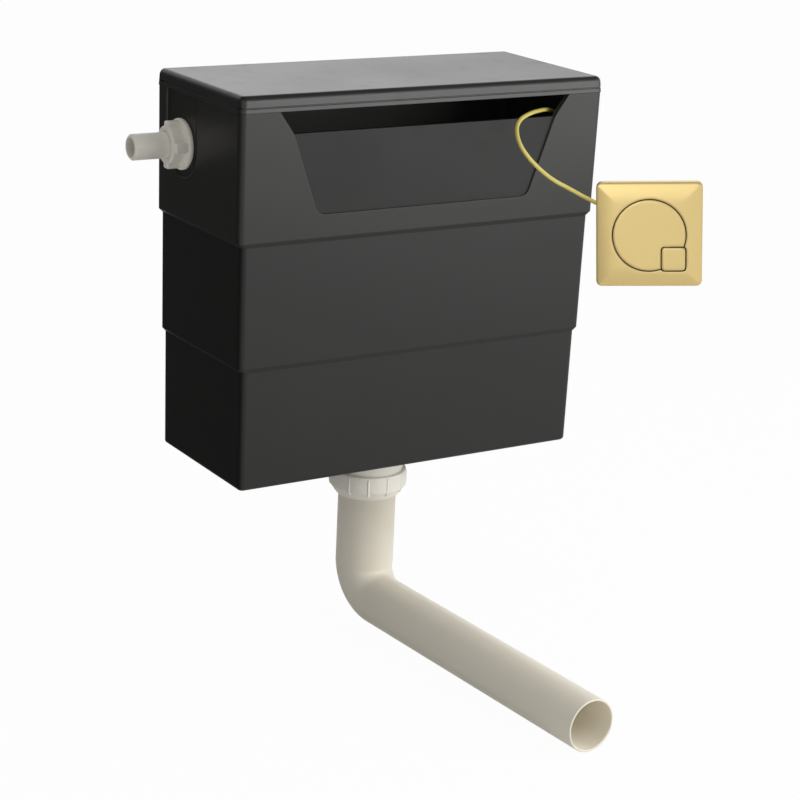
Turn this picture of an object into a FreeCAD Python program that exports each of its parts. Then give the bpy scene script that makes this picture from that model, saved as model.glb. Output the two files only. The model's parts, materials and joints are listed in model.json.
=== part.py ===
import FreeCAD, Part
import math
import os

# Concealed WC cistern: a stepped tank with a lid, a side water inlet with a float valve, a lifting
# flush valve on a bent flush pipe, and a square dual flush plate that works the valve by cable.
# Sizes are in millimetres. While the pieces are shaped, X = 0 is the tank's middle, Y = 0 is the
# wall face and Z = 0 is the tank's underside. Each piece is then lowered so that the origin lies
# midway between the two wall fixing holes.

Vector = FreeCAD.Vector
ORIGIN = Vector(0, 0, 0)
AXIS_X = Vector(1, 0, 0)
AXIS_Y = Vector(0, 1, 0)
AXIS_Z = Vector(0, 0, 1)

# Tank shell
tank_width = 340.0
tank_depth = 140.0
rim_height = 306.0
wall = 3.0
draft_angle = 0.5
front_corner_radius = 5.0
back_corner_radius = 10.0
base_edge_radius = 3.5
lower_step_drop = 203.3
upper_step_drop = 101.6
lower_step_side = 3.1
upper_step_side = 3.5
step_front = 1.2
step_ramp = 3.5

# Front recess and the open slot above its panel
recess_depth = 2.0
recess_drop = 83.0
recess_bottom_half = 99.5
recess_corner_radius = 9.0
slot_drop = 18.0
slot_bottom_half = 123.0
slot_top_half = 136.0
slot_flare_radius = 20.0

# Wall fixings
fixing_spacing = 150.0
fixing_drop = 16.0
fixing_hole_radius = 3.5
fixing_pad_radius = 9.0
fixing_pad_height = 2.0

# Lid
lid_height = 13.0
lid_overhang = 0.5
lid_taper = 1.0
lid_wall = 3.0
lid_edge_radius = 5.0
lid_groove_height = 3.2
lid_groove_width = 1.0
lid_groove_depth = 1.0
lid_lip_drop = 6.0
lid_lip_thickness = 2.0
lid_lip_clearance = 0.5
lid_lip_front_gap = 25.0

# Fits
seat_gap = 0.05
running_gap = 0.06
free_gap = 0.3

# Water inlet
inlet_setback = 40.0
inlet_drop = 41.0
inlet_recess_radius = 27.0
inlet_recess_depth = 1.7
inlet_wall = 3.2
inlet_pad_radius = 23.0
tail_radius = 10.48
tail_bore_radius = 7.5
tail_reach = 44.0
tail_chamfer = 1.5
tail_groove_width = 1.2
tail_groove_depth = 0.4
inlet_nut_flange_radius = 20.6
inlet_nut_flange = 4.0
inlet_nut_core_radius = 15.5
inlet_nut_length = 15.5
inlet_lug_reach = 19.0
inlet_lug_width = 8.0
inlet_lug_count = 4
inlet_washer_thickness = 2.5
inlet_flange_radius = 19.0
inlet_flange_thickness = 4.0

# Fill valve
fill_barrel_radius = 14.0
fill_barrel_length = 31.0
fill_cap_radius = 19.0
fill_cap_length = 14.0
fill_cap_rib_count = 16
fill_cap_rib_size = 2.0
spout_radius = 8.0
spout_bore_radius = 5.5
spout_length = 16.0
silencer_wall = 1.5
silencer_clearance = 12.0
float_pivot_rise = -9.0
float_pivot_reach = 9.0
float_pin_radius = 2.0
float_lug_radius = 5.0
float_lug_thickness = 3.0
float_arm_length = 42.0
float_arm_width = 10.0
float_arm_height = 6.0
float_rod_radius = 2.5
float_rod_head_radius = 4.5
float_rod_head_height = 3.0
float_length = 44.0
float_width = 40.0
float_height = 46.0
float_drop = 14.0
float_edge_radius = 5.0

# Flush outlet
outlet_setback = 69.0
outlet_tail_radius = 29.8
outlet_bore_radius = 25.0
outlet_tail_drop = 32.0
outlet_hole_gap = 0.5
outlet_washer_thickness = 3.0
outlet_washer_radius = 40.0
valve_flange_radius = 42.0
valve_flange_thickness = 5.0
seat_height = 4.0
seat_wall = 3.0
backnut_radius = 33.0
backnut_height = 7.0
backnut_sides = 8
coupling_top_drop = 21.5
coupling_radius = 32.9
coupling_shoulder_drop = 36.0
coupling_bottom_drop = 44.0
coupling_bottom_radius = 27.2
coupling_rib_count = 12
coupling_rib_width = 2.4
coupling_rib_proud = 0.9

# Flush pipe
pipe_radius_top = 25.0
pipe_radius_run = 22.0
pipe_wall = 1.9
pipe_collar_radius = 27.5
pipe_collar_height = 3.0
pipe_seal_height = 3.0
pipe_bend_radius = 29.0
pipe_run_drop = 137.0
pipe_run_reach = 312.0
pipe_run_turn = 3.5
pipe_bend_sections = 7

# Flush valve
cage_radius = 38.0
cage_height = 62.0
cage_window_count = 4
cage_window_width = 34.0
cage_window_foot = 6.0
cage_window_head = 12.0
tower_radius = 34.0
tower_wall = 3.0
tower_drop = 54.0
tower_roof = 3.0
overflow_radius = 17.0
overflow_wall = 2.5
overflow_drop = 28.0
overflow_foot_drop = 5.0
lift_flange_radius = 27.0
lift_flange_thickness = 4.0
valve_seal_radius = 30.0
valve_seal_thickness = 3.0
seal_retainer_radius = 22.0
float_ring_radius = 28.5
float_ring_height = 40.0
float_ring_drop = 70.0
float_collar_radius = 20.0
float_collar_height = 3.0
lift_tab_width = 12.0
lift_tab_margin = 4.0
lift_pin_radius = 2.5

# Valve head and its bell crank
head_ring_inner = 21.0
head_ring_height = 6.0
head_cheek_gap = 18.0
head_cheek_thickness = 3.0
lever_pivot_reach = 30.0
lever_pivot_drop = 70.0
lever_wire_arm = 10.0
lever_width = 16.0
lever_thickness = 5.0
lever_hub_radius = 5.5
lever_overrun = 6.0
lever_pin_radius = 2.0
head_anchor_reach = 50.0
head_anchor_thickness = 6.0
head_top_margin = 10.0

# Cable
cable_radius = 1.75
wire_radius = 0.8
wire_bore_radius = 1.2
nipple_radius = 2.0
nipple_length = 8.0
nipple_gap = 0.4
ferrule_spigot_radius = 3.0
ferrule_collar_radius = 4.6
ferrule_collar_length = 2.5
ferrule_sleeve_radius = 3.4
ferrule_sleeve_length = 10.0

# Push plate, in its own frame: x to the right, y up and z out of the face, from its back face
plate_side = 87.0
plate_right = 180.1
plate_forward = 203.3
plate_drop = 106.8
plate_azimuth = -38.0
plate_roll = 4.2
plate_corner_radius = 5.0
plate_thickness = 11.0
plate_flat_half = 26.0
plate_edge_curve = 52.0
plate_edge_radius = 1.0
full_button_radius = 29.7
half_button_side = 19.4
half_button_corner = 3.0
half_button_centre = 20.0
button_gap = 0.8
button_thickness = 3.0
full_button_travel = 5.0
half_button_travel = 4.0
deck_radius = 36.0
deck_thickness = 2.5
deck_spigot_radius = 28.2
deck_spigot_wall = 1.4
deck_spigot_depth = 3.0
housing_radius = 31.0
housing_wall = 2.5
housing_depth = 52.0
gasket_radius = 40.0
gasket_thickness = 3.0
clamp_ring_radius = 37.0
clamp_ring_thickness = 7.0
clamp_lug_count = 6
clamp_lug_width = 8.0
clamp_lug_reach = 39.5

# Cable rocker and half flush lever inside the plate's housing. Their frame has the plate's z, and
# x runs away from the cable gland.
gland_angle = 154.0
gland_depth = 18.0
gland_boss_radius = 6.2
gland_boss_reach = 33.0
rocker_pivot_setback = 16.0
rocker_arm = 16.0
rocker_thickness = 5.0
rocker_hub_radius = 5.0
rocker_pin_radius = 2.0
rocker_hub_start = -4.0
rocker_hub_end = 12.5
half_hub_start = -12.5
half_hub_end = -4.5
pin_ear_gap = 26.0
pin_ear_thickness = 3.0
pin_ear_width = 10.0
full_rod_offset = 6.0
full_boss_radius = 6.0
full_rod_radius = 3.5
full_collar_radius = 8.0
half_rod_place = 15.0
half_boss_radius = 4.0
half_rod_radius = 2.6
half_collar_radius = 5.2
rod_collar_height = 2.0
rod_spigot_radius = 2.0
rod_spigot_length = 6.0
dog_reach = 9.0
dog_length = 4.0
dog_gap = 1.7
dog_thickness = 2.5
spring_wire_radius = 0.5
spring_radius = 3.6
spring_turns = 5
spring_post_height = 3.0

# Heights and places that follow from the sizes above
lid_top = rim_height + lid_height
lower_step_height = rim_height - lower_step_drop
upper_step_height = rim_height - upper_step_drop
recess_bottom = rim_height - recess_drop
slot_bottom = rim_height - slot_drop
fixing_height = rim_height - fixing_drop
inlet_height = rim_height - inlet_drop
lever_pivot_height = rim_height - lever_pivot_drop
overflow_top = lever_pivot_height - overflow_drop
tower_top = lever_pivot_height - tower_drop
float_ring_foot = tower_top - float_ring_drop
plate_centre = Vector(plate_right, -plate_forward, rim_height - plate_drop)
back_overrun = 2 * back_corner_radius
inlet_face = tank_width / 2 - inlet_recess_depth
inlet_pad_face = inlet_face - inlet_wall
flange_bottom = wall + outlet_washer_thickness
flange_top = flange_bottom + valve_flange_thickness
seat_top = flange_top + seat_height
lift_flange_bottom = seat_top + valve_seal_thickness
head_bottom = tower_top
pipe_top = outlet_tail_drop + pipe_seal_height

# The cable is pulled by as much as the rocker's end swings, and the bell crank turns to suit.
rocker_half_angle = math.degrees(math.atan(full_button_travel / 2 / rocker_arm))
cable_pull = 2 * rocker_arm * math.sin(math.radians(rocker_half_angle))
lever_half_angle = math.degrees(math.asin(cable_pull / 2 / lever_wire_arm))
valve_lift = 2 * lever_pivot_reach * math.tan(math.radians(lever_half_angle))

nipple_height = lever_pivot_height + lever_wire_arm * math.cos(math.radians(lever_half_angle))
nipple_reach = lever_pivot_reach - lever_wire_arm * math.sin(math.radians(lever_half_angle))
lift_pin_height = (
    lever_pivot_height
    - lever_pivot_reach * math.tan(math.radians(lever_half_angle))
    + (lever_thickness / 2 + free_gap + lift_pin_radius) / math.cos(math.radians(lever_half_angle))
)

plate_turn = FreeCAD.Rotation(AXIS_Z, plate_azimuth)
plate_turn = plate_turn.multiply(FreeCAD.Rotation(AXIS_X, 90))
plate_turn = plate_turn.multiply(FreeCAD.Rotation(AXIS_Z, plate_roll))
plate_frame = FreeCAD.Placement(plate_centre, plate_turn)
rocker_turn = FreeCAD.Placement(ORIGIN, FreeCAD.Rotation(AXIS_Z, gland_angle - 180))
rocker_frame = plate_frame.multiply(rocker_turn)
rocker_pivot_depth = gland_depth + rocker_arm
half_rod_spot = rocker_turn.inverse().multVec(Vector(half_rod_place, -half_rod_place, 0))
half_arm = rocker_pivot_setback + half_rod_spot.x
half_lever_half_angle = math.degrees(math.atan(half_button_travel / 2 / half_arm))
gland_face = gland_boss_reach
gland_end = gland_face + ferrule_collar_length + ferrule_sleeve_length


def cylinder(radius, start, end, x=0.0, y=0.0):
    """Upright cylinder between two heights."""
    return Part.makeCylinder(radius, end - start, Vector(x, y, start))


def ring(outer, inner, start, end):
    """Upright tube between two heights."""
    return cylinder(outer, start, end).cut(cylinder(inner, start - 1, end + 1))


def rod(radius, start, end):
    """Cylinder between two points."""
    axis = end - start
    return Part.makeCylinder(radius, axis.Length, start, axis)


def block(x_range, y_range, z_range):
    """Box between pairs of limits."""
    low = Vector(x_range[0], y_range[0], z_range[0])
    size = Vector(x_range[1], y_range[1], z_range[1]) - low
    return Part.makeBox(size.x, size.y, size.z, low)


def joined(first, *others):
    """One solid out of several that touch or overlap."""
    return first.multiFuse(list(others)).removeSplitter()


def round_pattern(shape, count):
    """Copies of a shape, evenly spaced about Z."""
    copies = []
    for index in range(count):
        turned = shape.copy()
        turned.rotate(ORIGIN, AXIS_Z, index * 360.0 / count)
        copies.append(turned)
    return copies


def revolved(profile):
    """Solid of revolution about Z from (radius, height) points."""
    points = [Vector(radius, 0, height) for radius, height in profile]
    points.append(points[0])
    return Part.Face(Part.makePolygon(points)).revolve(ORIGIN, AXIS_Z, 360)


def rounded_outline(corners):
    """Closed wire in the XY plane through (x, y, radius) corners."""
    spans = []
    for index, (x, y, radius) in enumerate(corners):
        here = Vector(x, y, 0)
        following = corners[(index + 1) % len(corners)]
        to_before = (Vector(corners[index - 1][0], corners[index - 1][1], 0) - here).normalize()
        to_after = (Vector(following[0], following[1], 0) - here).normalize()
        half = to_before.getAngle(to_after) / 2
        setback = radius / math.tan(half)
        inward = (to_before + to_after).normalize()
        middle = here + inward * (radius / math.sin(half) - radius)
        spans.append((here + to_before * setback, middle, here + to_after * setback, radius))
    edges = []
    for index, (start, middle, end, radius) in enumerate(spans):
        if radius > 0:
            edges.append(Part.Arc(start, middle, end).toShape())
        next_start = spans[(index + 1) % len(spans)][0]
        if end.distanceToPoint(next_start) > 1e-6:
            edges.append(Part.makeLine(end, next_start))
    return Part.Wire(edges)


def prism(corners, start, end):
    """Upright prism of a rounded outline."""
    face = Part.Face(rounded_outline(corners))
    face.translate(Vector(0, 0, start))
    return face.extrude(Vector(0, 0, end - start))


def rounded_square(side, radius, centre=(0.0, 0.0)):
    """Corners of a square outline."""
    half = side / 2
    signs = ((-1, -1), (1, -1), (1, 1), (-1, 1))
    return [(centre[0] + x * half, centre[1] + y * half, radius) for x, y in signs]


def facing_front(shape):
    """Turns an upright shape so that its heights become distances in front of the wall."""
    turned = shape.copy()
    turned.rotate(ORIGIN, AXIS_X, 90)
    return turned


def along_x(shape, x, y, z, direction=1):
    """Lays a shape made on Z along X, from the given point."""
    turned = shape.copy()
    turned.rotate(ORIGIN, AXIS_Y, 90 * direction)
    turned.translate(Vector(x, y, z))
    return turned


def across_y(radius, start, end, x, z):
    """Cylinder along Y."""
    return Part.makeCylinder(radius, end - start, Vector(x, start, z), AXIS_Y)


def on_outlet(shape):
    """Moves a shape made on Z onto the flush valve's axis."""
    moved = shape.copy()
    moved.translate(Vector(0, -outlet_setback, 0))
    return moved


def on_plate(shape):
    """Moves a shape from the plate's frame to its place."""
    moved = shape.copy()
    moved.Placement = plate_frame.multiply(moved.Placement)
    return moved


def in_housing(shape):
    """Moves a shape from the rocker's frame to its place."""
    moved = shape.copy()
    moved.Placement = rocker_frame.multiply(moved.Placement)
    return moved


def edges_at(shape, height):
    """Edges that lie at one height."""
    low = height - 0.01
    high = height + 0.01
    return [edge for edge in shape.Edges if edge.BoundBox.ZMin > low and edge.BoundBox.ZMax < high]


def tank_outline(height, side, front, inset):
    """Outline of the tank at one height, with its draft, or of its cavity.

    The outside runs on past the wall face, where the flat back is cut later.
    """
    lean = (rim_height - height) * math.tan(math.radians(draft_angle))
    half = tank_width / 2 - side - lean - inset
    depth = tank_depth - front - lean - inset
    front_radius = max(front_corner_radius - inset, wall / 4)
    back_radius = max(back_corner_radius - inset, wall / 4)
    back = -inset if inset > 0 else back_overrun
    outline = rounded_outline([
        (-half, -depth, front_radius),
        (half, -depth, front_radius),
        (half, back, back_radius),
        (-half, back, back_radius),
    ])
    outline.translate(Vector(0, 0, height))
    return outline


def tank_form(bottom, top, inset):
    """Stepped body between two heights."""
    both_sides = lower_step_side + upper_step_side
    levels = [
        (bottom, both_sides, 2 * step_front),
        (lower_step_height - step_ramp, both_sides, 2 * step_front),
        (lower_step_height, upper_step_side, step_front),
        (upper_step_height - step_ramp, upper_step_side, step_front),
        (upper_step_height, 0.0, 0.0),
        (top, 0.0, 0.0),
    ]
    outlines = [tank_outline(height, side, front, inset) for height, side, front in levels]
    form = Part.makeLoft(outlines, True, True)
    corner = min(front_corner_radius, back_corner_radius)
    edge_radius = min(base_edge_radius, 0.9 * corner) - inset
    if edge_radius < seat_gap:
        return form
    return form.makeFillet(edge_radius, edges_at(form, bottom))


def behind_wall():
    """Everything behind the wall face."""
    return block((-tank_width, tank_width), (0, tank_depth), (-rim_height, 2 * rim_height))


def recess_form(near, far, grow):
    """Trapezoid of the front recess, between two distances in front of the wall."""
    rise = rim_height - slot_bottom
    top = rim_height + rise
    top_half = slot_top_half + (slot_top_half - slot_bottom_half)
    corners = []
    for sign in (-1, 1):
        side = [
            (sign * recess_bottom_half, recess_bottom, recess_corner_radius),
            (sign * slot_bottom_half, slot_bottom, slot_flare_radius),
            (sign * top_half, top, 0.0),
        ]
        corners += side[::-1] if sign < 0 else side
    outline = rounded_outline(corners)
    if grow > 0:
        outline = outline.makeOffset2D(grow)
    form = Part.Face(outline).extrude(Vector(0, 0, far - near))
    form.translate(Vector(0, 0, near))
    return facing_front(form)


def inlet_recess():
    """Shallow arch round the inlet, open up to the rim."""
    far = tank_width
    arch = along_x(cylinder(inlet_recess_radius, 0, far), -inlet_face - far, -inlet_setback, inlet_height)
    y_range = (-inlet_setback - inlet_recess_radius, -inlet_setback + inlet_recess_radius)
    return arch.fuse(block((-inlet_face - far, -inlet_face), y_range, (inlet_height, rim_height + 1)))


def tank():
    """Moulded tank with its recess, slot, inlet arches, fixing pads and holes."""
    beyond = tank_depth + wall
    panel_back = tank_depth - recess_depth - wall
    cavity = tank_form(wall, rim_height + 1, wall)
    cavity = cavity.cut(recess_form(panel_back, beyond, wall))
    shell = tank_form(0.0, rim_height, 0.0).cut(behind_wall()).cut(cavity)
    shell = shell.cut(recess_form(tank_depth - recess_depth, beyond, 0))
    slot_zone = block((-tank_width, tank_width), (-tank_width, 0), (slot_bottom, rim_height + wall))
    shell = shell.cut(recess_form(panel_back - wall, beyond, 0).common(slot_zone))
    pad_length = wall / 2 + inlet_recess_depth
    pad = along_x(cylinder(inlet_pad_radius, 0, pad_length), 0, -inlet_setback, inlet_height)
    pad.translate(Vector(-inlet_pad_face - pad_length, 0, 0))
    shell = shell.fuse([pad, pad.mirror(ORIGIN, AXIS_X)])
    arch = inlet_recess()
    shell = shell.cut([arch, arch.mirror(ORIGIN, AXIS_X)])
    hole_radius = tail_radius + free_gap
    inlet_hole = along_x(cylinder(hole_radius, -tank_width, 0), -tank_width / 4, -inlet_setback, inlet_height)
    shell = shell.cut(inlet_hole)
    for side in (-1, 1):
        x = side * fixing_spacing / 2
        pad = facing_front(cylinder(fixing_pad_radius, wall / 2, wall + fixing_pad_height, x, fixing_height))
        shell = shell.fuse(pad)
    for side in (-1, 1):
        x = side * fixing_spacing / 2
        shell = shell.cut(facing_front(cylinder(fixing_hole_radius, -1, 3 * wall, x, fixing_height)))
    outlet_hole = cylinder(outlet_tail_radius + outlet_hole_gap, -1, wall + 1)
    return shell.cut(on_outlet(outlet_hole)).removeSplitter()


def lid_outline(inset):
    """Face of the lid's outline at the rim's height."""
    outline = tank_outline(rim_height, 0.0, 0.0, inset)
    return Part.Face(outline)


def lid():
    """Cover with tapered sides, a rolled top edge, a groove line and a locating lip."""
    foot = tank_outline(rim_height, 0.0, 0.0, -lid_overhang)
    crown = tank_outline(rim_height, lid_taper, lid_taper, -lid_overhang)
    crown.translate(Vector(0, 0, lid_height))
    cover = Part.makeLoft([foot, crown], True, True)
    cover = cover.makeFillet(lid_edge_radius, edges_at(cover, lid_top)).cut(behind_wall())
    groove = lid_outline(-lid_overhang - 1).extrude(Vector(0, 0, lid_groove_width))
    groove = groove.cut(lid_outline(lid_groove_depth - lid_overhang).extrude(Vector(0, 0, lid_groove_width)))
    groove.translate(Vector(0, 0, lid_groove_height))
    back_cut = block((-tank_width, tank_width), (-lid_groove_depth, tank_depth), (0, 2 * rim_height))
    cover = cover.cut(groove.cut(back_cut))
    roof = lid_height - lid_wall
    cover = cover.cut(lid_outline(lid_wall - lid_overhang).extrude(Vector(0, 0, roof)))
    lip_outer = wall + lid_lip_clearance
    lip = lid_outline(lip_outer).extrude(Vector(0, 0, roof + lid_lip_drop))
    lip = lip.cut(lid_outline(lip_outer + lid_lip_thickness).extrude(Vector(0, 0, roof + lid_lip_drop)))
    lip.translate(Vector(0, 0, -lid_lip_drop))
    front = (-2 * tank_depth, -tank_depth + lid_lip_front_gap)
    lip = lip.cut(block((-tank_width, tank_width), front, (0, 2 * rim_height)))
    return joined(cover, lip)


def inlet_washer():
    """Rubber washer between the tank's inner pad and the valve's flange."""
    washer = ring(inlet_flange_radius, tail_radius + free_gap, 0, inlet_washer_thickness)
    return along_x(washer, -inlet_pad_face, -inlet_setback, inlet_height)


def inlet_nut():
    """Flanged nut with grip lugs on the outside of the tank."""
    body = cylinder(inlet_nut_flange_radius, 0, inlet_nut_flange)
    body = body.fuse(cylinder(inlet_nut_core_radius, 0, inlet_nut_length))
    half = inlet_lug_width / 2
    lug = block((0, inlet_lug_reach), (-half, half), (0, inlet_nut_length))
    lug = lug.makeFillet(inlet_lug_width / 5, [e for e in lug.Edges if e.BoundBox.XMin > inlet_lug_reach - 0.1])
    body = joined(body, *round_pattern(lug, inlet_lug_count))
    body = body.cut(cylinder(tail_radius + seat_gap, -1, inlet_nut_length + 1))
    return along_x(body, -inlet_face, -inlet_setback, inlet_height, -1)


def fill_barrel_start():
    """X of the fill valve barrel's left end, behind its flange."""
    return -inlet_pad_face + inlet_washer_thickness + inlet_flange_thickness


def spout_place():
    """X of the spout under the fill valve."""
    return fill_barrel_start() + fill_barrel_length / 2


def float_pivot():
    """Place of the float arm's pivot."""
    x = fill_barrel_start() + fill_barrel_length + fill_cap_length + float_pivot_reach
    return Vector(x, -inlet_setback, inlet_height + float_pivot_rise)


def fill_valve_body():
    """Inlet tail, flange, barrel and spout in one moulding."""
    tail_start = -tank_width / 2 - tail_reach
    flange_start = -inlet_pad_face + inlet_washer_thickness
    barrel_end = fill_barrel_start() + fill_barrel_length
    tail_length = flange_start - tail_start
    tail = cylinder(tail_radius, 0, tail_length)
    tail = tail.makeChamfer(tail_chamfer, edges_at(tail, 0))
    body = joined(
        along_x(tail, tail_start, 0, 0),
        along_x(cylinder(inlet_flange_radius, 0, inlet_flange_thickness), flange_start, 0, 0),
        along_x(cylinder(fill_barrel_radius, 0, barrel_end - flange_start), flange_start, 0, 0),
        cylinder(spout_radius, -fill_barrel_radius - spout_length, 0, spout_place()),
    )
    groove = ring(2 * tail_radius, tail_radius - tail_groove_depth, 0, tail_groove_width)
    body = body.cut(along_x(groove, -inlet_face - inlet_nut_length, 0, 0, -1))
    bore_length = spout_place() - tail_start
    body = body.cut(along_x(cylinder(tail_bore_radius, -1, bore_length), tail_start, 0, 0))
    spout_end = -fill_barrel_radius - spout_length
    body = body.cut(cylinder(spout_bore_radius, spout_end - 1, 0, spout_place()))
    body.translate(Vector(0, -inlet_setback, inlet_height))
    return body


def fill_valve_cap():
    """Ribbed diaphragm cap with the two lugs that carry the float arm."""
    start = fill_barrel_start() + fill_barrel_length
    rib = cylinder(fill_cap_rib_size / 2, 0, fill_cap_length, fill_cap_radius)
    cap = joined(cylinder(fill_cap_radius, 0, fill_cap_length), *round_pattern(rib, fill_cap_rib_count))
    cap = along_x(cap, start, -inlet_setback, inlet_height)
    pivot = float_pivot()
    lug_inner = float_arm_width / 2 + free_gap
    lugs = []
    for side in (-1, 1):
        near = pivot.y + side * lug_inner
        far = near + side * float_lug_thickness
        y_range = (min(near, far), max(near, far))
        bar = block((start + fill_cap_length / 2, pivot.x), y_range,
                    (pivot.z - float_lug_radius, pivot.z + float_lug_radius))
        lugs.append(bar.fuse(across_y(float_lug_radius, y_range[0], y_range[1], pivot.x, pivot.z)))
    cap = joined(cap, *lugs)
    return cap.cut(across_y(float_pin_radius + seat_gap, pivot.y - tank_depth, pivot.y + tank_depth, pivot.x, pivot.z))


def float_pin():
    """Pivot pin of the float arm."""
    pivot = float_pivot()
    half = float_arm_width / 2 + free_gap + float_lug_thickness
    return across_y(float_pin_radius, pivot.y - half, pivot.y + half, pivot.x, pivot.z)


def float_arm():
    """Arm from the pivot to the float's adjusting rod."""
    pivot = float_pivot()
    half = float_arm_width / 2
    tip = pivot.x + float_arm_length
    z_range = (pivot.z - float_arm_height / 2, pivot.z + float_arm_height / 2)
    arm = joined(
        across_y(float_lug_radius, pivot.y - half, pivot.y + half, pivot.x, pivot.z),
        block((pivot.x, tip), (pivot.y - half, pivot.y + half), z_range),
        cylinder(half, z_range[0], z_range[1], tip, pivot.y),
    )
    arm = arm.cut(across_y(float_pin_radius + running_gap, pivot.y - half - 1, pivot.y + half + 1, pivot.x, pivot.z))
    return arm.cut(cylinder(float_rod_radius + seat_gap, z_range[0] - 1, z_range[1] + 1, tip, pivot.y))


def float_top():
    """Height of the float's upper face."""
    return float_pivot().z - float_arm_height / 2 - float_drop


def float_rod():
    """Adjusting rod, with its slotted head on the arm, screwed into the float."""
    pivot = float_pivot()
    tip = pivot.x + float_arm_length
    head_bottom_height = pivot.z + float_arm_height / 2
    bar = cylinder(float_rod_radius, float_top() - float_drop, head_bottom_height, tip, pivot.y)
    head = cylinder(float_rod_head_radius, head_bottom_height, head_bottom_height + float_rod_head_height,
                    tip, pivot.y)
    return joined(bar, head)


def float_block():
    """Foam float, bored for its adjusting rod."""
    pivot = float_pivot()
    tip = pivot.x + float_arm_length
    right = tip + float_length / 4
    top = float_top()
    y_range = (pivot.y - float_width / 2, pivot.y + float_width / 2)
    body = block((right - float_length, right), y_range, (top - float_height, top))
    upright = [e for e in body.Edges if e.BoundBox.ZLength > float_height / 2]
    body = body.makeFillet(float_edge_radius, upright + edges_at(body, top))
    return body.cut(cylinder(float_rod_radius + seat_gap, top - float_drop, top + 1, tip, pivot.y))


def silencer_tube():
    """Tube from the spout to just above the tank's floor."""
    inner = spout_radius + seat_gap
    top = inlet_height - fill_barrel_radius
    tube = ring(inner + silencer_wall, inner, wall + silencer_clearance, top)
    tube.translate(Vector(spout_place(), -inlet_setback, 0))
    return tube


def outlet_washer():
    """Rubber washer between the tank's floor and the valve's flange."""
    return on_outlet(ring(outlet_washer_radius, outlet_tail_radius + seat_gap, wall, flange_bottom))


def flush_valve_base():
    """Valve flange with its raised seat and the tail through the tank's floor."""
    seat_outer = outlet_bore_radius + seat_wall
    return on_outlet(revolved([
        (outlet_bore_radius, -outlet_tail_drop),
        (outlet_tail_radius, -outlet_tail_drop),
        (outlet_tail_radius, flange_bottom),
        (valve_flange_radius, flange_bottom),
        (valve_flange_radius, flange_top),
        (seat_outer, flange_top),
        (seat_outer - seat_wall / 3, seat_top),
        (outlet_bore_radius, seat_top),
    ]))


def valve_backnut():
    """Flat-sided nut that clamps the valve to the tank's floor."""
    points = []
    for index in range(backnut_sides):
        angle = math.radians(index * 360.0 / backnut_sides)
        points.append((backnut_radius * math.cos(angle), backnut_radius * math.sin(angle), 0.0))
    nut = prism(points, -backnut_height, 0)
    return on_outlet(nut.cut(cylinder(outlet_tail_radius + seat_gap, -backnut_height - 1, 1)))


def coupling_nut():
    """Tapered coupling nut with upright grip ribs."""
    bore = outlet_tail_radius + free_gap
    collar_bore = pipe_collar_radius + free_gap
    collar_top = pipe_top
    collar_bottom = pipe_top + pipe_collar_height
    body = revolved([
        (0, -coupling_top_drop),
        (coupling_radius, -coupling_top_drop),
        (coupling_radius, -coupling_shoulder_drop),
        (coupling_bottom_radius, -coupling_bottom_drop),
        (0, -coupling_bottom_drop),
    ])
    half = coupling_rib_width / 2
    proud = coupling_radius + coupling_rib_proud
    rib = block((0, proud), (-half, half), (-coupling_bottom_drop, -coupling_top_drop))
    taper = revolved([
        (0, -coupling_top_drop),
        (proud, -coupling_top_drop),
        (proud, -coupling_shoulder_drop),
        (coupling_bottom_radius, -coupling_bottom_drop),
        (0, -coupling_bottom_drop),
    ])
    body = joined(body, *round_pattern(rib.common(taper), coupling_rib_count))
    hollow = revolved([
        (0, 1),
        (bore, 1),
        (bore, -collar_top),
        (collar_bore, -collar_top),
        (collar_bore, -collar_bottom),
        (pipe_radius_top + free_gap, -collar_bottom),
        (pipe_radius_top + free_gap, -coupling_bottom_drop - 1),
        (0, -coupling_bottom_drop - 1),
    ])
    return on_outlet(body.cut(hollow))


def pipe_seal():
    """Rubber ring between the valve's tail and the pipe's collar."""
    return on_outlet(ring(pipe_collar_radius, pipe_radius_top - pipe_wall, -pipe_top, -outlet_tail_drop))


def elbow_form(inset):
    """Outside of the flush pipe's elbow, or its bore."""
    top_radius = pipe_radius_top - inset
    run_radius = pipe_radius_run - inset
    sections = []
    for index in range(pipe_bend_sections):
        share = index / (pipe_bend_sections - 1)
        circle = Part.Wire(Part.makeCircle(top_radius + share * (run_radius - top_radius)))
        circle.rotate(Vector(0, -pipe_bend_radius, 0), AXIS_X, -share * 90.0)
        sections.append(circle)
    return Part.makeLoft(sections, True, False)


def pipe_upright():
    """Upright length of the flush pipe, with a collar under the coupling nut."""
    bore = pipe_radius_top - pipe_wall
    tube = ring(pipe_radius_top, bore, pipe_bend_radius - pipe_run_drop, -pipe_top)
    collar = ring(pipe_collar_radius, bore, -pipe_top - pipe_collar_height, -pipe_top)
    return on_outlet(joined(tube, collar))


def pipe_elbow():
    """Quarter bend of the flush pipe, which narrows towards the level run."""
    elbow = elbow_form(0.0).cut(elbow_form(pipe_wall))
    elbow.translate(Vector(0, 0, pipe_bend_radius - pipe_run_drop))
    elbow.rotate(ORIGIN, AXIS_Z, pipe_run_turn)
    return on_outlet(elbow)


def flush_pipe():
    """Level run of the flush pipe to the pan."""
    run = ring(pipe_radius_run, pipe_radius_run - pipe_wall, pipe_bend_radius, pipe_run_reach)
    run.rotate(ORIGIN, AXIS_X, 90.0)
    run.translate(Vector(0, 0, -pipe_run_drop))
    run.rotate(ORIGIN, AXIS_Z, pipe_run_turn)
    return on_outlet(run)


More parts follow.
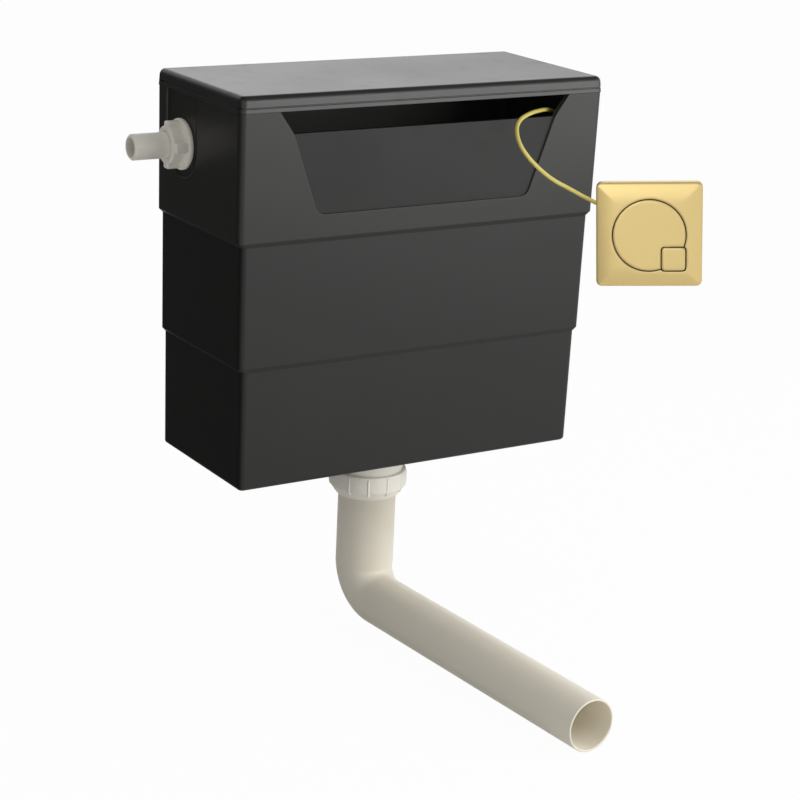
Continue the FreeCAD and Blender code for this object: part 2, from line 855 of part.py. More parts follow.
def valve_tower():
    """Guide tower on a windowed cage, with a roof that guides the overflow tube."""
    cage_top = flange_top + cage_height
    inner = tower_radius - tower_wall
    tower = revolved([
        (cage_radius - tower_wall, flange_top),
        (cage_radius, flange_top),
        (cage_radius, cage_top - tower_wall),
        (tower_radius, cage_top + tower_wall),
        (tower_radius, tower_top),
        (overflow_radius + free_gap, tower_top),
        (overflow_radius + free_gap, tower_top - tower_roof),
        (inner, tower_top - tower_roof),
        (inner, cage_top),
        (cage_radius - tower_wall, cage_top - 2 * tower_wall),
    ])
    half = cage_window_width / 2
    window = block((0, 2 * cage_radius), (-half, half),
                   (flange_top + cage_window_foot, cage_top - cage_window_head))
    return on_outlet(tower.cut(round_pattern(window, cage_window_count)))


def overflow_tube():
    """Lifting tube with the seal's flange, the float's collar and two tabs for the lift pin."""
    bore = overflow_radius - overflow_wall
    foot = seat_top - overflow_foot_drop
    tube = joined(
        ring(overflow_radius, bore, foot, overflow_top),
        ring(lift_flange_radius, bore, lift_flange_bottom, lift_flange_bottom + lift_flange_thickness),
        ring(float_collar_radius, bore, float_ring_foot - float_collar_height, float_ring_foot),
    )
    tab_top = lift_pin_height + lift_tab_margin
    half = lift_tab_width / 2
    sides = ring(overflow_radius, bore, overflow_top - 1, tab_top)
    tabs = sides.common(block((-half, half), (-overflow_radius, overflow_radius), (0, 2 * tab_top)))
    tube = joined(tube, tabs)
    reach = overflow_radius + 1
    return on_outlet(tube.cut(across_y(lift_pin_radius + seat_gap, -reach, reach, 0, lift_pin_height)))


def lift_pin():
    """Cross pin that the bell crank lifts."""
    return on_outlet(across_y(lift_pin_radius, -overflow_radius, overflow_radius, 0, lift_pin_height))


def valve_seal():
    """Rubber disc that closes the seat."""
    return on_outlet(ring(valve_seal_radius, overflow_radius + seat_gap, seat_top, lift_flange_bottom))


def seal_retainer():
    """Ring that holds the seal up against the tube's flange."""
    foot = seat_top - overflow_foot_drop
    return on_outlet(ring(seal_retainer_radius, overflow_radius + seat_gap, foot, seat_top))


def valve_float():
    """Float ring that holds the valve open while the tank empties."""
    top = float_ring_foot + float_ring_height
    return on_outlet(revolved([
        (overflow_radius + seat_gap, float_ring_foot),
        (float_ring_radius, float_ring_foot),
        (float_ring_radius, top - wall),
        (float_ring_radius - wall, top),
        (overflow_radius + seat_gap, top),
    ]))


def valve_head():
    """Ring on the tower's roof with two cheeks for the bell crank and an anchor for the cable."""
    inner = head_cheek_gap / 2
    outer = inner + head_cheek_thickness
    anchor_end = head_anchor_reach + head_anchor_thickness
    top = nipple_height + head_top_margin
    ring_top = head_bottom + head_ring_height
    cheek = facing_front(prism([
        (head_ring_inner, head_bottom, 0.0),
        (tower_radius, head_bottom, 0.0),
        (tower_radius + head_ring_height, ring_top, 0.0),
        (anchor_end, lever_pivot_height, head_ring_height),
        (anchor_end, top, head_ring_height),
        (head_ring_inner, top, head_ring_height),
    ], inner, outer))
    anchor = block((head_anchor_reach, anchor_end), (-outer, outer), (lever_pivot_height, top - head_ring_height))
    head = joined(
        ring(tower_radius, head_ring_inner, head_bottom, ring_top),
        cheek,
        cheek.mirror(ORIGIN, AXIS_Y),
        anchor,
    )
    head = head.cut(across_y(lever_pin_radius + seat_gap, -2 * outer, 2 * outer, lever_pivot_reach, lever_pivot_height))
    start = Vector(head_anchor_reach - 1, 0, nipple_height)
    end = Vector(anchor_end + 1, 0, nipple_height)
    return on_outlet(head.cut(rod(ferrule_spigot_radius + seat_gap, start, end)))


def nipple_seat(x, z, wire_side, width):
    """Cut for a cable nipple in the end of a lever, with a slit for its wire."""
    radius = nipple_radius + nipple_gap
    half = width / 2 + 1
    seat = across_y(radius, -half, half, x, z)
    lower = across_y(radius, -half, half, x, z - nipple_gap)
    slit_half = wire_radius + nipple_gap
    slit_x = (min(x, x + wire_side * width), max(x, x + wire_side * width))
    slit = block(slit_x, (-slit_half, slit_half), (z - 2 * radius, z + 4 * radius))
    return seat.fuse([lower, slit])


def lift_lever():
    """Bell crank: the cable pulls its upright arm and its long arm lifts the valve."""
    half = lever_width / 2
    t = lever_thickness / 2
    x = lever_pivot_reach
    z = lever_pivot_height
    wire_half = nipple_length / 2 - 1
    long_arm = prism([
        (x, -half, 0.0),
        (x, half, 0.0),
        (-lever_overrun, half - t, t),
        (-lever_overrun, t - half, t),
    ], z - t, z + t)
    lever = joined(
        across_y(lever_hub_radius, -half, half, x, z),
        long_arm,
        block((x - t, x + t), (-wire_half, wire_half), (z, z + lever_wire_arm + t)),
        across_y(t, -wire_half, wire_half, x, z + lever_wire_arm + t),
    )
    lever = lever.cut(across_y(lever_pin_radius + running_gap, -half - 1, half + 1, x, z))
    lever = lever.cut(nipple_seat(x, z + lever_wire_arm, 1, 2 * wire_half))
    lever.rotate(Vector(x, 0, z), AXIS_Y, -lever_half_angle)
    return on_outlet(lever)


def lift_lever_pin():
    """Pivot pin of the bell crank, in the head's cheeks."""
    half = head_cheek_gap / 2 + head_cheek_thickness
    return on_outlet(across_y(lever_pin_radius, -half, half, lever_pivot_reach, lever_pivot_height))


def cable_ferrule(spigot_length):
    """Stepped end sleeve on Z, with its collar's seat at zero and the cable's end at the top."""
    sleeve_end = ferrule_collar_length + ferrule_sleeve_length
    body = joined(
        cylinder(ferrule_spigot_radius, -spigot_length, 0),
        cylinder(ferrule_collar_radius, 0, ferrule_collar_length),
        cylinder(ferrule_sleeve_radius, ferrule_collar_length, sleeve_end),
    )
    return body.cut(cylinder(wire_bore_radius, -spigot_length - 1, sleeve_end + 1))


def valve_ferrule_seat():
    """X of the ferrule collar's seat on the valve head."""
    return head_anchor_reach + head_anchor_thickness


def valve_cable_ferrule():
    """Cable end in the valve head's anchor."""
    return on_outlet(along_x(cable_ferrule(head_anchor_thickness + 1), valve_ferrule_seat(), 0, nipple_height))


def wire_end(length):
    """Bare wire on Z that ends in a cross nipple."""
    half = nipple_length / 2
    return joined(cylinder(wire_radius, 0, length), across_y(nipple_radius, -half, half, 0, 0))


def valve_wire_end():
    """Wire and nipple between the bell crank and the cable."""
    length = valve_ferrule_seat() + ferrule_sleeve_length - cable_pull - nipple_reach
    return on_outlet(along_x(wire_end(length), nipple_reach, 0, nipple_height))


def pillow_form():
    """Plate body with a front that falls away towards all four edges."""
    half = plate_side / 2
    fall = plate_edge_curve - math.sqrt(plate_edge_curve ** 2 - (half - plate_flat_half) ** 2)
    middle_turn = math.asin((half - plate_flat_half) / plate_edge_curve) / 2
    middle_u = plate_flat_half + plate_edge_curve * math.sin(middle_turn)
    middle_w = plate_thickness - plate_edge_curve * (1 - math.cos(middle_turn))
    edge_w = plate_thickness - fall
    edges = [
        Part.makeLine(Vector(-half, 0, 0), Vector(half, 0, 0)),
        Part.makeLine(Vector(half, 0, 0), Vector(half, edge_w, 0)),
        Part.Arc(Vector(half, edge_w, 0), Vector(middle_u, middle_w, 0),
                 Vector(plate_flat_half, plate_thickness, 0)).toShape(),
        Part.makeLine(Vector(plate_flat_half, plate_thickness, 0), Vector(-plate_flat_half, plate_thickness, 0)),
        Part.Arc(Vector(-plate_flat_half, plate_thickness, 0), Vector(-middle_u, middle_w, 0),
                 Vector(-half, edge_w, 0)).toShape(),
        Part.makeLine(Vector(-half, edge_w, 0), Vector(-half, 0, 0)),
    ]
    vault = Part.Face(Part.Wire(edges)).extrude(Vector(0, 0, plate_side))
    vault.translate(Vector(0, 0, -half))
    vault.rotate(ORIGIN, AXIS_X, 90)
    crossed = vault.copy()
    crossed.rotate(ORIGIN, AXIS_Z, 90)
    outline = prism(rounded_square(plate_side, plate_corner_radius), -1, plate_thickness + 1)
    return vault.common(crossed).common(outline)


def half_button_prism(grow, start, end):
    """Upright prism of the square button, or of its opening."""
    centre = (half_button_centre, -half_button_centre)
    side = half_button_side + 2 * grow
    return prism(rounded_square(side, half_button_corner + grow, centre), start, end)


def plate_rim(form):
    """Edges round the plate's front, where its pillow meets its sides."""
    near = plate_side / 2 - plate_corner_radius / 2
    found = []
    for edge in form.Edges:
        centre = edge.CenterOfMass
        level = edge.BoundBox.ZLength < plate_thickness / 3 < centre.z
        if level and max(abs(centre.x), abs(centre.y)) > near:
            found.append(edge)
    return found


def face_plate():
    """Square plate with one opening for both buttons and a pocket for the guide deck."""
    plate = pillow_form()
    plate = plate.makeFillet(plate_edge_radius, plate_rim(plate))
    plate = plate.cut(cylinder(full_button_radius + button_gap, deck_thickness, plate_thickness + 1))
    plate = plate.cut(half_button_prism(button_gap, deck_thickness, plate_thickness + 1))
    plate = plate.cut(cylinder(deck_radius + free_gap, -1, deck_thickness))
    return on_plate(plate)


def button_cap_floor():
    """Height of the buttons' undersides at rest."""
    return plate_thickness - button_thickness


def rocker_spot(x, y):
    """Point of the rocker's frame in the plate's frame, on the plate's back plane."""
    return rocker_turn.multVec(Vector(x, y, 0))


def button_boss(radius, spot):
    """Round boss under a button, bored for its push rod."""
    floor = button_cap_floor()
    boss = cylinder(radius, 0, floor, spot.x, spot.y)
    return boss, cylinder(rod_spigot_radius + seat_gap, -1, rod_spigot_length + seat_gap, spot.x, spot.y)


def full_flush_button():
    """Large round button with a notch for the square one."""
    floor = button_cap_floor()
    cap = pillow_form().common(cylinder(full_button_radius, floor, plate_thickness + 1))
    cap = cap.cut(half_button_prism(button_gap, floor - 1, plate_thickness + 1))
    boss, bore = button_boss(full_boss_radius, rocker_spot(0, full_rod_offset))
    return on_plate(joined(cap, boss).cut(bore))


def half_flush_button():
    """Small square button."""
    floor = button_cap_floor()
    cap = pillow_form().common(half_button_prism(0, floor, plate_thickness + 1))
    boss, bore = button_boss(half_boss_radius, Vector(half_rod_place, -half_rod_place, 0))
    return on_plate(joined(cap, boss).cut(bore))


def guide_deck():
    """Disc behind the plate that guides the buttons' bosses and closes the housing."""
    deck = cylinder(deck_radius, 0, deck_thickness)
    inner = deck_spigot_radius - deck_spigot_wall
    deck = joined(deck, ring(deck_spigot_radius, inner, -deck_spigot_depth, 0))
    full_spot = rocker_spot(0, full_rod_offset)
    deck = deck.cut(cylinder(full_boss_radius + free_gap, -1, deck_thickness + 1, full_spot.x, full_spot.y))
    hole = cylinder(half_boss_radius + free_gap, -1, deck_thickness + 1, half_rod_place, -half_rod_place)
    return on_plate(deck.cut(hole))


def rocker_rest_height(arm, angle):
    """Height of a lever's upper face under a push rod at rest."""
    lean = math.radians(angle)
    return -rocker_pivot_depth + arm * math.tan(lean) + rocker_thickness / 2 / math.cos(lean)


def push_rod(radius, collar_radius, spot, foot):
    """Push rod with a stop collar and a spigot into its button."""
    round_end = Part.makeSphere(radius, Vector(spot.x, spot.y, foot + radius))
    return joined(
        cylinder(rod_spigot_radius, 0, rod_spigot_length, spot.x, spot.y),
        cylinder(collar_radius, -rod_collar_height, 0, spot.x, spot.y),
        cylinder(radius, foot + radius, -rod_collar_height, spot.x, spot.y),
        round_end,
    )


def rod_foot(arm, angle, radius):
    """Height of a round-ended rod's foot that clears its lever at rest."""
    lean = math.radians(angle)
    return rocker_rest_height(arm, angle) + free_gap + radius * (1 / math.cos(lean) - 1)


def full_flush_rod():
    """Rod from the round button to the cable rocker."""
    foot = rod_foot(rocker_arm, rocker_half_angle, full_rod_radius)
    return in_housing(push_rod(full_rod_radius, full_collar_radius, Vector(0, full_rod_offset, 0), foot))


def half_flush_rod():
    """Rod from the square button to the half flush lever."""
    foot = rod_foot(half_arm, half_lever_half_angle, half_rod_radius)
    return in_housing(push_rod(half_rod_radius, half_collar_radius, half_rod_spot, foot))


def button_housing():
    """Sleeve behind the plate, closed at the back, with pin ears, spring posts and a cable gland."""
    inner = housing_radius - housing_wall
    floor = housing_wall - housing_depth
    sleeve = cylinder(housing_radius, -housing_depth, 0)
    boss = along_x(cylinder(gland_boss_radius, 0, gland_boss_reach), 0, 0, -gland_depth, -1)
    sleeve = joined(sleeve, boss).cut(cylinder(inner, floor, 1))
    ears = []
    for side in (-1, 1):
        near = side * pin_ear_gap / 2
        far = near + side * pin_ear_thickness
        x_range = (-rocker_pivot_setback - pin_ear_width / 2, -rocker_pivot_setback + pin_ear_width / 2)
        top = -rocker_pivot_depth + pin_ear_width / 2
        ears.append(block(x_range, (min(near, far), max(near, far)), (floor - housing_wall / 2, top)))
    post_radius = spring_radius - spring_wire_radius - free_gap
    post_top = floor + spring_post_height
    posts = [
        cylinder(post_radius, floor - housing_wall / 2, post_top, 0, full_rod_offset),
        cylinder(post_radius, floor - housing_wall / 2, post_top, half_rod_spot.x, half_rod_spot.y),
    ]
    sleeve = joined(sleeve, *ears, *posts)
    pin_reach = pin_ear_gap / 2 + pin_ear_thickness + 1
    sleeve = sleeve.cut(across_y(rocker_pin_radius + seat_gap, -pin_reach, pin_reach,
                                 -rocker_pivot_setback, -rocker_pivot_depth))
    bore_start = Vector(-gland_boss_reach - 1, 0, -gland_depth)
    bore_end = Vector(-inner / 2, 0, -gland_depth)
    return in_housing(sleeve.cut(rod(ferrule_spigot_radius + seat_gap, bore_start, bore_end)))


def panel_gasket():
    """Foam ring between the plate and the panel."""
    return on_plate(ring(gasket_radius, housing_radius + free_gap, -gasket_thickness, 0))


def clamp_ring():
    """Lugged ring on the sleeve that clamps the plate to a panel."""
    start = -gasket_thickness - clamp_ring_thickness
    half = clamp_lug_width / 2
    lug = block((housing_radius + 2, clamp_lug_reach), (-half, half), (start, -gasket_thickness))
    body = joined(cylinder(clamp_ring_radius, start, -gasket_thickness), *round_pattern(lug, clamp_lug_count))
    return on_plate(body.cut(cylinder(housing_radius + free_gap, start - 1, 0)))


def rocker_pin():
    """Pin that both levers turn on."""
    reach = pin_ear_gap / 2 + pin_ear_thickness
    return in_housing(across_y(rocker_pin_radius, -reach, reach, -rocker_pivot_setback, -rocker_pivot_depth))


def cable_rocker():
    """Rocker that the round button presses and that pulls the cable's nipple."""
    x = -rocker_pivot_setback
    z = -rocker_pivot_depth
    t = rocker_thickness / 2
    wire_half = nipple_length / 2 - 1
    pad_half = full_rod_radius + free_gap
    rocker = joined(
        across_y(rocker_hub_radius, rocker_hub_start, rocker_hub_end, x, z),
        block((x, full_rod_radius), (full_rod_offset - pad_half, full_rod_offset + pad_half), (z - t, z + t)),
        block((x - t, x + t), (-wire_half, wire_half), (z, z + rocker_arm + t)),
        across_y(t, -wire_half, wire_half, x, z + rocker_arm + t),
    )
    rocker = rocker.cut(across_y(rocker_pin_radius + running_gap, half_hub_start, rocker_hub_end + 1, x, z))
    rocker = rocker.cut(nipple_seat(x, z + rocker_arm, -1, 2 * wire_half))
    rocker.rotate(Vector(x, 0, z), AXIS_Y, -rocker_half_angle)
    return in_housing(rocker)


def half_flush_lever():
    """Lever that the square button presses, with a dog over the rocker's arm."""
    x = -rocker_pivot_setback
    z = -rocker_pivot_depth
    t = rocker_thickness / 2
    arm_end = half_rod_spot.x + half_rod_radius
    arm_range = (half_rod_spot.y - half_rod_radius, half_hub_end)
    dog_x = (x + dog_reach - dog_length / 2, x + dog_reach + dog_length / 2)
    rocker_top = rocker_rest_height(dog_reach, rocker_half_angle)
    dog_bottom = rocker_top + dog_gap
    lever = joined(
        across_y(rocker_hub_radius, half_hub_start, half_hub_end, x, z),
        block((x, arm_end), arm_range, (z - t, z + t)),
        block(dog_x, (half_hub_end - dog_thickness, half_hub_end), (z, dog_bottom + dog_thickness)),
        block(dog_x, (half_hub_end - dog_thickness, full_rod_offset), (dog_bottom, dog_bottom + dog_thickness)),
    )
    lever = lever.cut(across_y(rocker_pin_radius + running_gap, half_hub_start - 1, half_hub_end + 1, x, z))
    lever.rotate(Vector(x, 0, z), AXIS_Y, -half_lever_half_angle)
    return in_housing(lever)


def coil_spring(spot, foot, top):
    """Open helical spring as one tube along quarter-turn arcs."""
    quarters = 4 * spring_turns
    start = foot + spring_wire_radius
    rise = top - foot - 2 * spring_wire_radius

    def helix_point(step):
        angle = math.radians(90.0 * step)
        x = spot.x + spring_radius * math.cos(angle)
        y = spot.y + spring_radius * math.sin(angle)
        return Vector(x, y, start + rise * step / quarters)

    arcs = []
    for step in range(quarters):
        arcs.append(Part.Arc(helix_point(step), helix_point(step + 0.5), helix_point(step + 1)).toShape())
    path = Part.Wire(arcs)
    tangent = arcs[0].tangentAt(arcs[0].FirstParameter)
    section = Part.Wire(Part.makeCircle(spring_wire_radius, helix_point(0), tangent))
    spring = path.makePipeShell([section], True, False)
    coil_gap = rise / spring_turns - 2 * spring_wire_radius
    print("spring gap between turns %.2f, length share %.4f" % (
        coil_gap, spring.Volume / (math.pi * spring_wire_radius ** 2 * path.Length)))
    return spring


def lever_underside(arm, angle):
    """Height of a lever's lower face over the middle of its spring at rest."""
    lean = math.radians(angle)
    return -rocker_pivot_depth + arm * math.tan(lean) - rocker_thickness / 2 / math.cos(lean)


def full_flush_spring():
    """Spring under the cable rocker."""
    foot = housing_wall - housing_depth
    top = lever_underside(rocker_arm, rocker_half_angle)
    return in_housing(coil_spring(Vector(0, full_rod_offset, 0), foot, top - seat_gap))


def half_flush_spring():
    """Spring under the half flush lever."""
    foot = housing_wall - housing_depth
    top = lever_underside(half_arm, half_lever_half_angle)
    return in_housing(coil_spring(half_rod_spot, foot, top - seat_gap))


def button_cable_ferrule():
    """Cable end in the housing's gland."""
    spigot = gland_boss_reach - (housing_radius - housing_wall) + 1
    return in_housing(along_x(cable_ferrule(spigot), -gland_face, 0, -gland_depth, -1))


def button_wire_end():
    """Wire and nipple between the rocker and the cable."""
    lean = math.radians(rocker_half_angle)
    x = -rocker_pivot_setback - rocker_arm * math.sin(lean)
    z = -rocker_pivot_depth + rocker_arm * math.cos(lean)
    length = gland_face + ferrule_collar_length + x
    return in_housing(along_x(wire_end(length), x, 0, z, -1))


# Places that the cable passes between its two ferrules, from the valve to the plate. The first two
# keep to the valve's ferrule, and the last number of the others is their depth under the rim.
cable_passes = [
    Vector(87.0, -outlet_setback, nipple_height),
    Vector(109.0, -outlet_setback - 0.5, nipple_height + 1.8),
]
for x, y, drop in (
    (131.0, -74.0, 53.0),
    (149.0, -86.0, 45.0),
    (156.5, -103.5, 33.0),
    (147.0, -116.0, 22.0),
    (128.0, -123.5, 15.0),
    (111.5, -135.0, 12.8),
    (96.0, -142.5, 13.0),
    (81.5, -148.5, 16.0),
    (73.0, -155.5, 22.0),
    (71.0, -163.0, 32.0),
    (77.0, -167.0, 42.5),
    (90.0, -166.5, 54.0),
    (109.0, -161.5, 66.0),
    (129.0, -155.5, 75.0),
):
    cable_passes.append(Vector(x, y, rim_height - drop))
cable_lead_out = 14.5


def flush_cable():
    """Cable sheath as straight runs joined by large tangent arcs."""
    valve_end = valve_ferrule_seat() + ferrule_collar_length + ferrule_sleeve_length
    first = Vector(valve_end, -outlet_setback, nipple_height)
    last = rocker_frame.multVec(Vector(-gland_end, 0, -gland_depth))
    lead = rocker_frame.multVec(Vector(-gland_end - cable_lead_out, 0, -gland_depth))
    points = [first] + cable_passes + [lead, last]
    edges = []
    radii = []
    here = first
    for before, corner, after in zip(points, points[1:], points[2:]):
        back = before - corner
        onward = after - corner
        setback = 0.45 * min(back.Length, onward.Length)
        back.normalize()
        onward.normalize()
        half = back.getAngle(onward) / 2
        radius = setback * math.tan(half)
        start = corner + back * setback
        end = corner + onward * setback
        middle = corner + (back + onward).normalize() * (radius / math.sin(half) - radius)
        edges.append(Part.makeLine(here, start))
        edges.append(Part.Arc(start, middle, end).toShape())
        radii.append(round(radius, 1))
        here = end
    edges.append(Part.makeLine(here, last))
    path = Part.Wire(edges)
    section = Part.Wire(Part.makeCircle(cable_radius, first, points[1] - first))
    cable = path.makePipeShell([section], True, False)
    share = cable.Volume / (math.pi * cable_radius ** 2 * path.Length)
    print("cable bend radii", radii)
    print("cable length %.1f, volume share %.4f" % (path.Length, share))
    return cable


NODES = {
    "tank": tank,
    "lid": lid,
    "inlet_nut": inlet_nut,
    "inlet_washer": inlet_washer,
    "fill_valve_body": fill_valve_body,
    "fill_valve_cap": fill_valve_cap,
    "silencer_tube": silencer_tube,
    "float_arm": float_arm,
    "float_pivot_pin": float_pin,
    "float_rod": float_rod,
    "float_block": float_block,
    "flush_valve_base": flush_valve_base,
    "outlet_washer": outlet_washer,
    "valve_backnut": valve_backnut,
    "coupling_nut": coupling_nut,
    "pipe_seal": pipe_seal,
    "pipe_upright": pipe_upright,
    "pipe_elbow": pipe_elbow,
    "flush_pipe": flush_pipe,
    "valve_tower": valve_tower,
    "overflow_tube": overflow_tube,
    "lift_pin": lift_pin,
    "valve_seal": valve_seal,
    "seal_retainer": seal_retainer,
    "valve_float": valve_float,
    "valve_head": valve_head,
    "lift_lever": lift_lever,
    "lift_lever_pin": lift_lever_pin,
    "valve_cable_ferrule": valve_cable_ferrule,
    "valve_wire_end": valve_wire_end,
    "flush_cable": flush_cable,
    "face_plate": face_plate,
    "full_flush_button": full_flush_button,
    "half_flush_button": half_flush_button,
    "guide_deck": guide_deck,
    "full_flush_rod": full_flush_rod,
    "half_flush_rod": half_flush_rod,
    "button_housing": button_housing,
    "panel_gasket": panel_gasket,
    "clamp_ring": clamp_ring,
    "rocker_pin": rocker_pin,
    "cable_rocker": cable_rocker,
    "half_flush_lever": half_flush_lever,
    "full_flush_spring": full_flush_spring,
    "half_flush_spring": half_flush_spring,
    "button_cable_ferrule": button_cable_ferrule,
    "button_wire_end": button_wire_end,
}

os.makedirs("parts", exist_ok=True)
for name, make in NODES.items():
    piece = make()
    piece.translate(Vector(0, 0, -fixing_height))
    print("%s: %d solid, valid %s, %.0f mm3" % (name, len(piece.Solids), piece.isValid(), piece.Volume))
    piece.exportStep("parts/%s.step" % name)
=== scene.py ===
import json
import math

import bmesh
import bpy
from mathutils import Euler, Matrix, Vector


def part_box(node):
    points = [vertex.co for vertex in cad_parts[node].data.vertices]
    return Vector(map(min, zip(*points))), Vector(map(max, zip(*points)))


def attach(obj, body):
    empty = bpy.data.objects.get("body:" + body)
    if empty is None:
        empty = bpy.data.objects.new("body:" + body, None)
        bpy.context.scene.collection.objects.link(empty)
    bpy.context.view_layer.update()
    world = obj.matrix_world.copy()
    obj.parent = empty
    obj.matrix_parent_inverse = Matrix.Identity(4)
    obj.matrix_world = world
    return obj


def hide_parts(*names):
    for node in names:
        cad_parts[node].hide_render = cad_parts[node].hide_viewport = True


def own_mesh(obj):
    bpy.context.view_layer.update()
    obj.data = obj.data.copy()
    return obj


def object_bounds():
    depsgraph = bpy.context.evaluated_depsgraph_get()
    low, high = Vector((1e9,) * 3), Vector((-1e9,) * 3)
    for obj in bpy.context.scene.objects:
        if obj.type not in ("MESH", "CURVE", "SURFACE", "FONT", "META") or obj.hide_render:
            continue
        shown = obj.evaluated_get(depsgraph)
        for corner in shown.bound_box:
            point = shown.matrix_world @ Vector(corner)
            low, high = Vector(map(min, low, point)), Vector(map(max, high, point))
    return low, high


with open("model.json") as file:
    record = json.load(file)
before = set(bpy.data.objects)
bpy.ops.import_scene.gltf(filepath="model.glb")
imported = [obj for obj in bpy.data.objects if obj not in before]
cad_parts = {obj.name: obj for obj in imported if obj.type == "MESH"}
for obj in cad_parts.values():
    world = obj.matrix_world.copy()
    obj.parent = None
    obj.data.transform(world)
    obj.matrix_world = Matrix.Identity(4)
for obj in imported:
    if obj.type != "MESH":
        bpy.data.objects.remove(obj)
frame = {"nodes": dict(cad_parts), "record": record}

bl_info = {
    "name": "Concealed Cistern",
    "version": (1, 0, 0),
    "blender": (4, 5, 0),
    "location": "View3D > Sidebar > Cistern",
    "description": "Dresses the cistern's frame with its cable, pipe, nuts, springs and finishes",
    "category": "Object",
}

CAD_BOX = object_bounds()
SLOT_OF = {entry["node"]: entry["material_slot"] for entry in frame["record"]["subparts"]}

# The tank's floor lies this far under the frame's origin, which is between the wall fixing holes
TANK_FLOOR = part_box("tank")[0][2]
OUTLET = (Vector(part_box("flush_valve_base")[0]) + Vector(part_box("flush_valve_base")[1])) / 2
OUTLET_AXIS = Matrix.Translation((OUTLET.x, OUTLET.y, TANK_FLOOR))
INLET_LOW, INLET_HIGH = (Vector(corner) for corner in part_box("inlet_nut"))
INLET_MIDDLE = (INLET_LOW + INLET_HIGH) / 2
INLET_AXIS = Matrix.Translation((INLET_HIGH.x, INLET_MIDDLE.y, INLET_MIDDLE.z)) @ Matrix.Rotation(
    math.radians(-90), 4, "Y")
TANK_MIDDLE = (Vector(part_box("tank")[0]) + Vector(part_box("tank")[1])) / 2

WHITE = (1.0, 1.0, 1.0, 1.0)

# Pieces of the push plate, which hangs close before the tank: they and the cable aren't mirrored
# in it and throw no shadow on it
PLATE_NODES = (
    "face_plate", "full_flush_button", "half_flush_button", "button_housing", "guide_deck",
    "panel_gasket", "clamp_ring", "full_flush_rod", "half_flush_rod", "cable_rocker",
    "half_flush_lever", "rocker_pin", "full_flush_spring", "half_flush_spring",
    "button_cable_ferrule", "button_wire_end",
)

# Painted shade in the gaps round the plate's buttons, in millimetres: the round gap's radius, the square
# gap's place, half side and roundness, and the squared distances between which the shade fades out
BUTTON_RING = 30.1
BUTTON_SQUARE = 20.0
BUTTON_SQUARE_HALF = 10.1
BUTTON_SQUARE_POWER = 8
BUTTON_GAP_FADE = (0.16, 0.36)

# Shallow recess in the tank's side round the inlet nut: its half width, and where the painted shade along
# its walls fades in towards the rim, out past it, and out to the back, the foot and the inside
INLET_RECESS = 0.027
INLET_SHADE_IN = (-0.0050, -0.0028)
INLET_SHADE_OUT = (0.0, 0.0006)
INLET_SHADE_BACK = (-0.012, -0.006)
INLET_SHADE_FOOT = (-0.020, -0.010)
INLET_SHADE_DEPTH = (-0.1680, -0.1676)

# Recessed front panel, painted darker as shade: its plane, the distances from it between which its painted
# shade fades out, and the same for its reach to either side and its foot
RECESS_PANEL = -0.138
RECESS_FADE = (0.0006, 0.0010)
RECESS_REACH = (0.150, 0.155)
RECESS_FOOT = (TANK_FLOOR + 0.222, TANK_FLOOR + 0.223)

# Top of the two narrower tiers, which get painted shade, and the flat back, on which that shade is left out
TIER_TOP = (TANK_FLOOR + 0.2035, TANK_FLOOR + 0.2045)
FLAT_BACK = (-0.003, -0.001)

# How far a face has to turn towards the tank's middle to count as inside
INWARD_TURN = (0.005, 0.02)

# Black mouldings: how much worn edges pale the colour, how much painted shade darkens it in the creases,
# and how far that shade reaches
WORN_PALER = 2.2
WORN_SHARE = 0.35
CREASE_SHADE_DARKER = 0.2
CREASE_SHADE_REACH = 0.005

# Share of metal in the plate's gold
GOLD_METAL = 0.60

# The push plate's back centre, the way that it faces and its small tilt
PLATE_CENTRE = Vector((0.1801, -0.2033, 0.1992 + TANK_FLOOR))
PLATE_AXIS = (
    Matrix.Translation(PLATE_CENTRE)
    @ Matrix.Rotation(math.radians(-38.0), 4, "Z")
    @ Matrix.Rotation(math.radians(90.0), 4, "X")
    @ Matrix.Rotation(math.radians(4.2), 4, "Z")
)

# Given points of the cable's route, from the valve's ferrule to the plate's
CABLE_ROUTE = [
    (0.0685, -0.0690, -0.0443),
    (0.0870, -0.0690, -0.0443),
    (0.1090, -0.0695, -0.0425),
    (0.1310, -0.0740, -0.0370),
    (0.1490, -0.0860, -0.0290),
    (0.1565, -0.1035, -0.0170),
    (0.1470, -0.1160, -0.0060),
    (0.1280, -0.1235, 0.0010),
    (0.1115, -0.1350, 0.0032),
    (0.0960, -0.1425, 0.0030),
    (0.0815, -0.1485, 0.0000),
    (0.0730, -0.1555, -0.0060),
    (0.0710, -0.1630, -0.0160),
    (0.0770, -0.1670, -0.0265),
    (0.0900, -0.1665, -0.0380),
    (0.1090, -0.1615, -0.0500),
    (0.1290, -0.1555, -0.0590),
    (0.1473, -0.1548, -0.0685),
    (0.1579, -0.1631, -0.0739),
]


